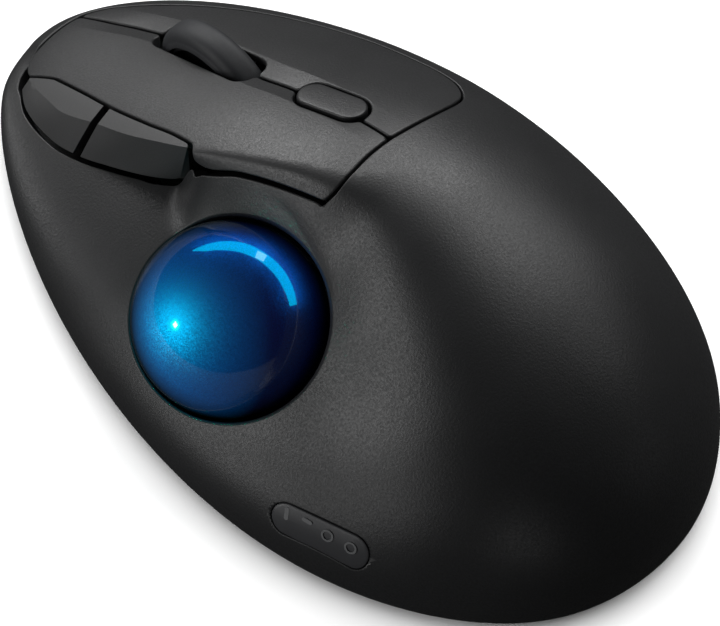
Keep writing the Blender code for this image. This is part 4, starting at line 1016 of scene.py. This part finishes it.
def top_case():
    """Shell with an opening for the buttons, one for the window and one for the ball."""
    window_hole = placed(stadium(window_half, WINDOW_WIDTH / 2 + 0.22),
                         window_at, window_way, window_side)[:, :2]
    holes = [case_opening()[::-1], softened(window_hole, corner=0, step=0.4)[::-1]]
    ball_top, _ = ball_ring(OPENING_R + BALL_EDGE)
    angle, _ = polar(*outline.T)
    rim = (edge_radius(angle) * SPREAD)[:, None] * heading(angle)
    loops = [rim] + [unroll(loop) for loop in (*holes, ball_top[:, :2])]
    starts = np.cumsum([0] + [len(loop) for loop in loops])
    rim_part, ball_part = slice(0, starts[1]), slice(starts[3], starts[4])

    # chart points: borders' roundings, a fine grid on the flank, a coarser one elsewhere
    rings = []
    for loop in holes:
        for points, inset in edge_rings(loop, case_z, CASE_EDGE):
            keep = nearest(points, holes)[0] > 0.8 * inset
            rings.append(points[keep & ~inside(points, holes[0]) & ~inside(points, holes[1])])
    rings = unroll(np.concatenate(rings))
    rings = rings[within(rings, [rim, loops[3]])]
    tight = clear_of(hex_grid(rim, 0.6), loops, 0.3)
    x, y = roll(tight).T
    share = case_flank(x, y)
    tight = tight[(share > 0.01) & (share < 0.99) & (y > -12) & (x < 0)]
    extra = np.concatenate([rings, thinned(tight, rings, 0.16)])
    grid = clear_of(hex_grid(rim, 1.25), loops, 0.5)
    extra = np.concatenate([extra, thinned(grid, extra, 0.5)])

    # upper side
    faces = triangles(loops, extra)
    borders = np.concatenate([outline, *holes, ball_top[:, :2]])
    plan = np.concatenate([borders, roll(extra)])
    normals = case_normal(np.concatenate(loops + [extra]))
    level = outline_normals(1, 0)
    normals[rim_part] = level
    near, way = to_borders(plan, holes, starts[1])
    rise = -(normals[:, :2] * way).sum(1) / np.maximum(normals[:, 2], 0.05)
    top = np.column_stack([plan, case_z(*plan.T)])
    top[rim_part, 2] = WIDEST_Z
    top[ball_part] = ball_top
    top, top_normals, out = rounded(top, normals, near, way, rise, CASE_EDGE)
    case = Skin()
    upper = case.add(top)
    case.fill(upper[faces], top_normals[faces])

    # lower rim
    ring, ring_normals = upper[rim_part], level
    for z, more_inset, more_lean in RIM_RINGS:
        drop = WIDEST_Z - z
        inset = RIM_CURL * drop**RIM_POWER + more_inset
        lean = RIM_CURL * RIM_POWER * drop ** (RIM_POWER - 1) + more_lean
        ring, ring_normals = case.extend(
            ring, ring_normals, outline_ring(inset, z), outline_normals(1, -lean))
    down = outline_normals(0, -1)
    ring, _ = case.extend(ring, down, outline_ring(2.7, CASE_BOTTOM_Z), down)

    # inner side
    grid = clear_of(hex_grid(rim, 3.2), loops, 1.6)
    faces = triangles(loops, grid)
    normals_in = case_normal(np.concatenate(loops + [grid]))
    plan = np.concatenate([borders, roll(grid)])
    depth = np.full(len(plan), CASE_WALL)
    depth[starts[1]:starts[3]] = CASE_LIP
    under = np.column_stack([plan, case_z(*plan.T)]) - normals_in * depth[:, None]
    under[rim_part] = outline_ring(CASE_WALL, WIDEST_Z)
    under[ball_part] = ball_ring(OPENING_R)[0] - BALL_AXIS * 6.0
    lower = case.add(under)
    case.fill(lower[faces], -normals_in[faces])
    case.strip(ring, lower[rim_part], -level, -level)
    for k in (1, 2):
        part = slice(starts[k], starts[k + 1])
        case.strip(upper[part], lower[part], out[part], out[part])

    # rounded border and wall of the ball opening
    ring, ring_normals = upper[ball_part], normals[ball_part]
    for angle in np.radians((18, 36, 54, 72, 90)):
        sine, cosine = math.sin(angle), math.cos(angle)
        points, side = ball_ring(OPENING_R + BALL_EDGE * (1 - sine))
        ring, ring_normals = case.extend(
            ring, ring_normals, points - BALL_AXIS * (BALL_EDGE * (1 - cosine)),
            unit(normals[ball_part] * cosine + side * sine))
    case.strip(ring, lower[ball_part], ring_normals, ring_normals)
    settle(case.make("top_case_shell", CASE), "base", "top_case")


top_case()

# ---------------------------------------------------------------- thumb buttons
KEY_STEP = 1 / 46  # share of the keys' length
KEY_DROP = 0.15  # the keys' tops lie this far below the crown


def thumb_button(button, low, high, tucks=(0.0, 0.0, 0.0)):
    """Key over a share of the thumb row; tucks pull in the foot at its first three sections."""
    ends = np.array((0.0, 0.4, 1.0)) * KEY_STEP
    share = np.concatenate([low + ends, np.linspace(low + 2 * KEY_STEP, high, 24)])
    tuck = np.interp(share - low, ends, tucks)
    inner = along(LEFT_EDGE[LEFT_EDGE_TURN:])(share) - [SEAM, 0]
    sections = []
    for a, b, foot, pull in zip(inner, along(SIDE_TOP)(share), along(SIDE_FOOT)(share), tuck):
        inner_z, outer_z = crown_z(*a) - KEY_DROP, crown_z(*b) - KEY_DROP
        foot_z = min(domes(*foot)[1] + 0.7, outer_z - 1.2)
        under_z = min(domes(*a)[1] + 0.9, inner_z - 1.2)
        keep = 1 - pull / np.hypot(np.hypot(*(foot - b)), outer_z - foot_z)
        foot, foot_z = b + (foot - b) * keep, outer_z + (foot_z - outer_z) * keep
        section = []
        for k in range(5):
            point = a + (b - a) * k / 4
            section.append((*point, float(crown_z(*point) - KEY_DROP)))
        for k in range(1, 6):
            down = k / 5
            x, y = b + (foot - b) * down
            z = float(outer_z + (foot_z - outer_z) * down)
            section.append((x - 0.5 * down * (1 - down), y, z))
        section.append((*a, float(under_z)))
        sections.append(section)
    obj = lofted(button + "_cap", sections, SIDE, bevel=0.24, sharp=24)
    settle(obj, button, button)


thumb_button("back_button", 0.005, 0.475, tucks=(0.75, 0.22, 0.0))
thumb_button("forward_button", 0.515, 0.985)

# ---------------------------------------------------------------- pointer-speed button
# inset from the outline, height against the button's top
SPEED_RINGS = ((0.0, -3.9), (0.0, -0.95), (0.06, -0.5), (0.16, -0.22), (0.28, -0.08),
               (0.42, -0.02), (0.62, 0.0), (1.1, 0.03), (1.7, 0.05), (2.3, 0.06), (2.9, 0.06))


def speed_button():
    rings = []
    for inset, height in SPEED_RINGS:
        plan = speed_outline(SPEED_R - inset, 20)
        rings.append(np.column_stack([plan, domes(*plan.T)[0] + SPEED_PROUD + height]))
    rings[0][:, 2] = rings[0][:, 2].min()
    obj = lofted("dpi_button_cap", rings, KEY)
    settle(obj, "dpi_button", "dpi_button")


speed_button()

# ---------------------------------------------------------------- status window
# inset from the outline, height against the case
WINDOW_RINGS = ((0.0, -2.2), (0.0, -0.2), (0.03, -0.12), (0.1, -0.05), (0.22, -0.01),
                (0.7, 0.0), (1.3, 0.02), (2.1, 0.04), (2.8, 0.05))
MARK_LOW, MARK_HIGH = -0.1, 0.09
# name, place along and across the window, length, angle in degrees
BAR_MARKS = (("window_mark_1", (-6.6, 1.0), 2.7, 96), ("window_mark_2", (-2.7, 1.3), 2.0, -8))
BAR_WIDTH = 0.8
RING_MARKS = (("window_mark_3", 1.4, 0.3), ("window_mark_4", 5.9, 0.1))
RING_OUTER_R, RING_INNER_R = 1.15, 0.8


def on_window(shape, height):
    """A shape laid over the window, following the case's own swell."""
    points = placed(shape, window_at, window_way, window_side)
    points[:, 2] = case_z(points[:, 0], points[:, 1])
    return points + window_normal * height


def status_window():
    """Lens with two bars and two rings in low relief."""
    rings = [on_window(stadium(window_half, WINDOW_WIDTH / 2 + 0.06 - inset, 20), height)
             for inset, height in WINDOW_RINGS]
    lens = lofted("status_window_lens", rings, SMOKE)
    settle(lens, "base", "status_window")
    for name, at, length, angle in BAR_MARKS:
        way = heading(math.radians(angle))
        bar = placed(stadium((length - BAR_WIDTH) / 2, BAR_WIDTH / 2, 6), at, way, left_of(way))
        mark = lofted(name, [on_window(bar, height) for height in (MARK_LOW, MARK_HIGH)], MARK)
        settle(mark, "base")
    profile = [(RING_OUTER_R, MARK_HIGH), (RING_OUTER_R, MARK_LOW),
               (RING_INNER_R, MARK_LOW), (RING_INNER_R, MARK_HIGH)]
    for name, onward, across in RING_MARKS:
        middle = window_at + window_way * onward + window_side * across
        mark = lathe(name, profile, middle, window_normal, MARK, steps=40)
        settle(mark, "base")


status_window()


# ---------------------------------------------------------------- ball
def trackball():
    bm = bmesh.new()
    bmesh.ops.create_icosphere(bm, subdivisions=6, radius=BALL_R * MM)
    bmesh.ops.translate(bm, vec=Vector(BALL_AT) * MM, verts=bm.verts)
    obj = bmesh_object("trackball_sphere", bm, BLUE)
    obj.data.shade_smooth()
    settle(obj, "trackball", "trackball")
    return obj


ball = trackball()

# ---------------------------------------------------------------- scroll wheel
# Half profiles as (radius, distance to the side of the wheel's middle plane)
HALF_TYRE = [
    (14.0, 0.0), (13.99, 0.5), (13.95, 1.0), (13.86, 1.45), (13.7, 1.85), (13.45, 2.2),
    (13.1, 2.5), (12.7, 2.72), (12.3, 2.86), (12.1, 2.92), (11.95, 3.02), (11.75, 3.12),
    (11.5, 3.2), (11.25, 3.27), (11.12, 3.3), (11.02, 3.27), (10.98, 3.2), (10.98, 2.9)]
HALF_HUB = [
    (10.7, 2.5), (10.55, 2.7), (10.2, 2.72), (10.0, 2.55), (9.7, 1.7), (9.2, 1.3), (3.4, 1.2),
    (3.1, 1.6), (3.0, 2.6), (2.8, 2.8), (1.5, 2.8)]


def scroll_wheel():
    axis = (1, 0, 0)
    profile = HALF_TYRE[::-1] + [(radius, -x) for radius, x in HALF_TYRE[1:]]
    tyre = lathe("scroll_tyre_tread", profile, WHEEL_AT, axis, RUBBER, steps=180, sharp=50)
    settle(tyre, "scroll_wheel", "scroll_tyre")
    profile = HALF_HUB + [(radius, -x) for radius, x in HALF_HUB[::-1]]
    hub = lathe("scroll_hub_disc", profile, WHEEL_AT, axis, HUB, steps=128)
    settle(hub, "scroll_wheel", "scroll_hub")


scroll_wheel()

# ---------------------------------------------------------------- bottom case
FLOOR_HOLES = [
    round_box(-9.5, 28.5, -59.0, 1.0, 3.0),
    circle(BALL_AT[0], BALL_AT[1], 4.4),
    round_box(-24.2, -19.8, -28.6, -19.4, 1.2, 6),
] + [circle(x, y, 2.9) for x, y in (
    (-22.0, -38.0), (-31.0, 37.0), (33.0, -14.0), (-28.0, -48.0), (16.0, -66.0))]
FLOOR_INSET_BELOW, FLOOR_INSET_ABOVE = 3.6, 3.9
TRAY_TOP_Z = 3.6
# Outer wall of the tray, upwards: inset, z, downward lean of the normal
TRAY_RINGS = ((3.25, 0.93, 3.0), (2.95, 1.04, 1.5), (2.65, 1.22, 1.0), (2.35, 1.5, 0.75),
              (2.05, 1.95, 0.5), (1.8, 2.5, 0.3), (1.6, 3.1, 0.12), (1.5, TRAY_TOP_Z, 0.0))


def bottom_case():
    tray = Skin()
    holes = [softened(hole, corner=0, step=0.8)[::-1] for hole in FLOOR_HOLES]
    sides = []
    for z, inset, up in ((FLOOR_Z, FLOOR_INSET_BELOW, -1.0),
                         (FLOOR_Z + FLOOR_THICK, FLOOR_INSET_ABOVE, 1.0)):
        loops = [outline - outline_out * inset] + holes
        grid = clear_of(hex_grid(loops[0], 4.0), loops, 1.5)
        plan = np.concatenate(loops + [grid])
        faces = triangles(loops, grid)
        numbers = tray.add(np.column_stack([plan, np.full(len(plan), z)]))
        tray.fill(numbers[faces], np.tile((0.0, 0.0, up), (len(faces), 3, 1)))
        sides.append(numbers)
    below, above = sides
    start = len(outline)
    for hole in holes:
        part = slice(start, start + len(hole))
        wall_normals = np.column_stack([out_of(hole), np.zeros(len(hole))])
        tray.strip(below[part], above[part], wall_normals, wall_normals)
        start += len(hole)
    ring, ring_normals = below[:len(outline)], outline_normals(0, -1)
    for inset, z, lean in TRAY_RINGS:
        ring, ring_normals = tray.extend(
            ring, ring_normals, outline_ring(inset, z), outline_normals(1, -lean))
    up = outline_normals(0, 1)
    ring, _ = tray.extend(ring, up, outline_ring(2.9, TRAY_TOP_Z), up)
    inward = outline_normals(-1, 0.6)
    tray.strip(ring, above[:len(outline)], inward, inward)
    settle(tray.make("bottom_case_tray", BASE), "base", "bottom_case")


bottom_case()

# ---------------------------------------------------------------- feet
# direction from CENTRE in degrees, inset from the plan outline, half length, radius
FEET = {
    "foot_front": (88, 10.5, 9.0, 2.6),
    "foot_left": (162, 8.0, 9.0, 2.4),
    "foot_right": (12, 8.0, 9.0, 2.4),
    "foot_rear_left": (236, 8.5, 7.0, 2.6),
    "foot_rear_right": (320, 8.5, 7.0, 2.6),
}
FOOT_RINGS = ((0.55, 0.0), (0.3, 0.02), (0.12, 0.08), (0.0, 0.2), (0.0, 0.6))  # inset, z


def foot(name, angle, inset, half, radius):
    """Pad that lies along the plan outline."""
    angles = np.radians(np.array([angle - 2.0, angle, angle + 2.0]))
    before, middle, after = CENTRE + (edge_radius(angles) - inset)[:, None] * heading(angles)
    way = unit(after - before)
    rings = []
    for ring_inset, z in FOOT_RINGS:
        plan = placed(stadium(half, radius - ring_inset, 14), middle, way, left_of(way))
        rings.append(np.column_stack([plan, np.full(len(plan), z)]))
    settle(lofted(name + "_pad", rings, PAD), "base", name)


for name, sizes in FEET.items():
    foot(name, *sizes)


# ---------------------------------------------------------------- floor
def floor_finish():
    """Pale floor that looks dark to the camera alone."""
    material, tree, shader = graph("floor_finish")
    where = object_place(tree)
    camera_ray = node(tree, "ShaderNodeLightPath").outputs["Is Camera Ray"]
    seen = spread(tree, camera_ray, low=0.022, high=1.0, start=0.0, end=1.0)
    patches = spread(tree, noise(tree, where, size=60.0), low=0.985, high=1.015)
    colour = shaded(tree, (0.9, 0.9, 0.9), combined(tree, seen, patches))
    tree.links.new(colour, shader.inputs["Base Color"])
    shader.inputs["Roughness"].default_value = 0.9
    shader.inputs["Specular IOR Level"].default_value = 0.1
    return material


floor_bm = bmesh.new()
bmesh.ops.create_grid(floor_bm, x_segments=2, y_segments=2, size=2.0)
floor = bmesh_object("floor", floor_bm, floor_finish())

# ---------------------------------------------------------------- light, in metres
camera_at = Vector((-0.18689, -0.19222, 0.50062))
forward = Vector((0.33197, 0.33197, -0.88295)).normalized()
right = Vector((0.70711, -0.70711, 0.0))
above = right.cross(forward)
LIGHT_TARGET = Vector((0.0, 0.0, 0.02))

LIGHTS = {
    # name: azimuth from the right towards the front, height above the table (degrees), power
    "right": (0, 27, 0.72),
    "right_high": (0, 46, 1.15),
    "right_steep": (0, 60, 0.72),
    "right_front": (30, 34, 2.8),
    "front_right": (60, 34, 2.1),
    "front_mid": (71, 22, 2.1),
    "front": (90, 16, 0.4),
    "front_low": (110, 2, 1.5),
    "left_front": (150, 28, 2.0),
    "left_front_low": (158, 3, 1.3),
    "left": (180, 10, 0.7),
    "rear_left": (236, 4, 0.3),
    "rear": (300, 10, 0.08),
    "right_rear": (330, 34, 0.5),
}
BALL_LIGHTS = {
    # name: direction, distance, size, power, colour, mirrored by the gloss
    "ball_glow": ((-0.841, 0.403, 0.359), 0.6, 0.045, 4.3, (0.01, 1.0, 0.55), True),
    "ball_fill": ((-0.2, 0.15, 1.0), 0.9, 0.9, 1.4, (1.0, 0.8, 1.0), False),
    "ball_left": ((-1.0, -0.25, 0.25), 0.7, 0.5, 0.25, (0.4, 0.9, 1.0), False),
}


def panel_light(name, direction, distance, size, power, colour=(1, 1, 1)):
    """Square lamp aimed at the target from this direction."""
    data = bpy.data.lights.new(name, "AREA")
    data.shape, data.size, data.size_y = "RECTANGLE", size, size
    data.energy, data.color = power, colour
    lamp = link(name, data)
    direction = Vector(direction).normalized()
    lamp.location = LIGHT_TARGET + direction * distance
    lamp.rotation_mode = "QUATERNION"
    lamp.rotation_quaternion = direction.to_track_quat("Z", "Y")
    return lamp


def only_for(light, obj):
    """This light falls on this object alone."""
    group = bpy.data.collections.new(light.name + "_falls_on")
    group.objects.link(obj)
    light.light_linking.receiver_collection = group
    return group


def studio_lights():
    not_ball = bpy.data.collections.new("all_but_the_ball")
    not_ball.objects.link(ball)
    not_ball.collection_objects[0].light_linking.link_state = "EXCLUDE"
    for name, (azimuth, height, power) in LIGHTS.items():
        azimuth, height = math.radians(azimuth), math.radians(height)
        direction = (math.cos(azimuth) * math.cos(height),
                     math.sin(azimuth) * math.cos(height), math.sin(height))
        lamp = panel_light(name, direction, distance=1.0, size=0.36, power=power)
        lamp.light_linking.receiver_collection = not_ball
    for name, (direction, distance, size, power, colour, mirrored) in BALL_LIGHTS.items():
        lamp = panel_light(name, direction, distance, size, power, colour)
        only_for(lamp, ball)
        lamp.visible_glossy = mirrored
    wash = panel_light("floor_wash", (0.0, 0.0, 1.0), distance=1.6, size=1.6, power=34.0)
    only_for(wash, floor)


studio_lights()

# ---------------------------------------------------------------- strips mirrored by the ball
# A curved strip that the glossy ball mirrors along its upper right side: angle round the
# ball's outline disc in degrees, inner and outer distance as shares of the disc's radius.
STRIP_ANGLE = (12.5, 30, 40, 53, 60, 73, 80, 97, 110, 118.5)
STRIP_INNER = (0.60, 0.605, 0.615, 0.63, 0.64, 0.655, 0.665, 0.685, 0.711, 0.765)
STRIP_OUTER = (0.675, 0.70, 0.715, 0.73, 0.738, 0.757, 0.767, 0.775, 0.775, 0.775)

ball_centre = Vector(BALL_AT) * MM
toward = (camera_at - ball_centre).normalized()
ball_right = (right - toward * right.dot(toward)).normalized()
ball_above = toward.cross(ball_right)


def mirror_place(angle, share, distance):
    """The place this far out from the ball that a point of its outline disc mirrors."""
    angle, facing = math.radians(angle), math.sqrt(1 - share * share)
    out = (ball_right * (share * math.cos(angle)) + ball_above * (share * math.sin(angle))
           + toward * facing)
    return ball_centre + out * (BALL_R * MM) + (out * (2 * facing) - toward) * distance


def glowing(name, colour, strength):
    material, tree, shader = graph(name)
    tone = spread(tree, noise(tree, object_place(tree), size=90.0), low=0.97, high=1.03)
    tree.links.new(shaded(tree, colour, tone), shader.inputs["Emission Color"])
    shader.inputs["Emission Strength"].default_value = strength
    shader.inputs["Base Color"].default_value = (0, 0, 0, 1)
    return material


def light_strip(name, angles, inner, outer, finish, distance):
    bm = bmesh.new()
    rows = [[bm.verts.new(mirror_place(angle, low + (high - low) * k / 3, distance))
             for k in range(4)] for angle, low, high in zip(angles, inner, outer)]
    for row, after in zip(rows, rows[1:]):
        for k in range(3):
            bm.faces.new((row[k], row[k + 1], after[k + 1], after[k]))
    obj = bmesh_object(name, bm, finish)
    obj.visible_camera = obj.visible_diffuse = obj.visible_shadow = False
    obj.light_linking.blocker_collection = only_for(obj, ball)


angles = np.linspace(STRIP_ANGLE[0], STRIP_ANGLE[-1], 60)
light_strip("light_strip", angles, inner=np.interp(angles, STRIP_ANGLE, STRIP_INNER),
            outer=np.interp(angles, STRIP_ANGLE, STRIP_OUTER),
            finish=glowing("strip_light", (0.0, 0.66, 0.95), strength=1.95), distance=0.005)
light_strip("light_spot", np.linspace(60.0, 68.0, 6), inner=np.full(6, 0.655),
            outer=np.full(6, 0.73),
            finish=glowing("spot_light", (0.25, 0.75, 1.0), strength=3.2), distance=0.0049)

world = bpy.data.worlds.new("studio")
bpy.context.scene.world = world
world.use_nodes = True
background = world.node_tree.nodes["Background"]
background.inputs["Color"].default_value = (1, 1, 1, 1)
background.inputs["Strength"].default_value = 0.006

# ---------------------------------------------------------------- camera
camera_data = bpy.data.cameras.new("camera")
camera_data.lens, camera_data.sensor_width = 158.5, 36
camera_data.clip_start, camera_data.clip_end = 0.01, 10
camera = link("camera", camera_data)
placing = Matrix((right, above, -forward)).transposed().to_4x4()
placing.translation = camera_at
camera.matrix_world = placing
scene = bpy.context.scene
scene.camera = camera
scene.view_settings.view_transform = "Standard"
scene.view_settings.look = "None"

bpy.context.view_layer.update()
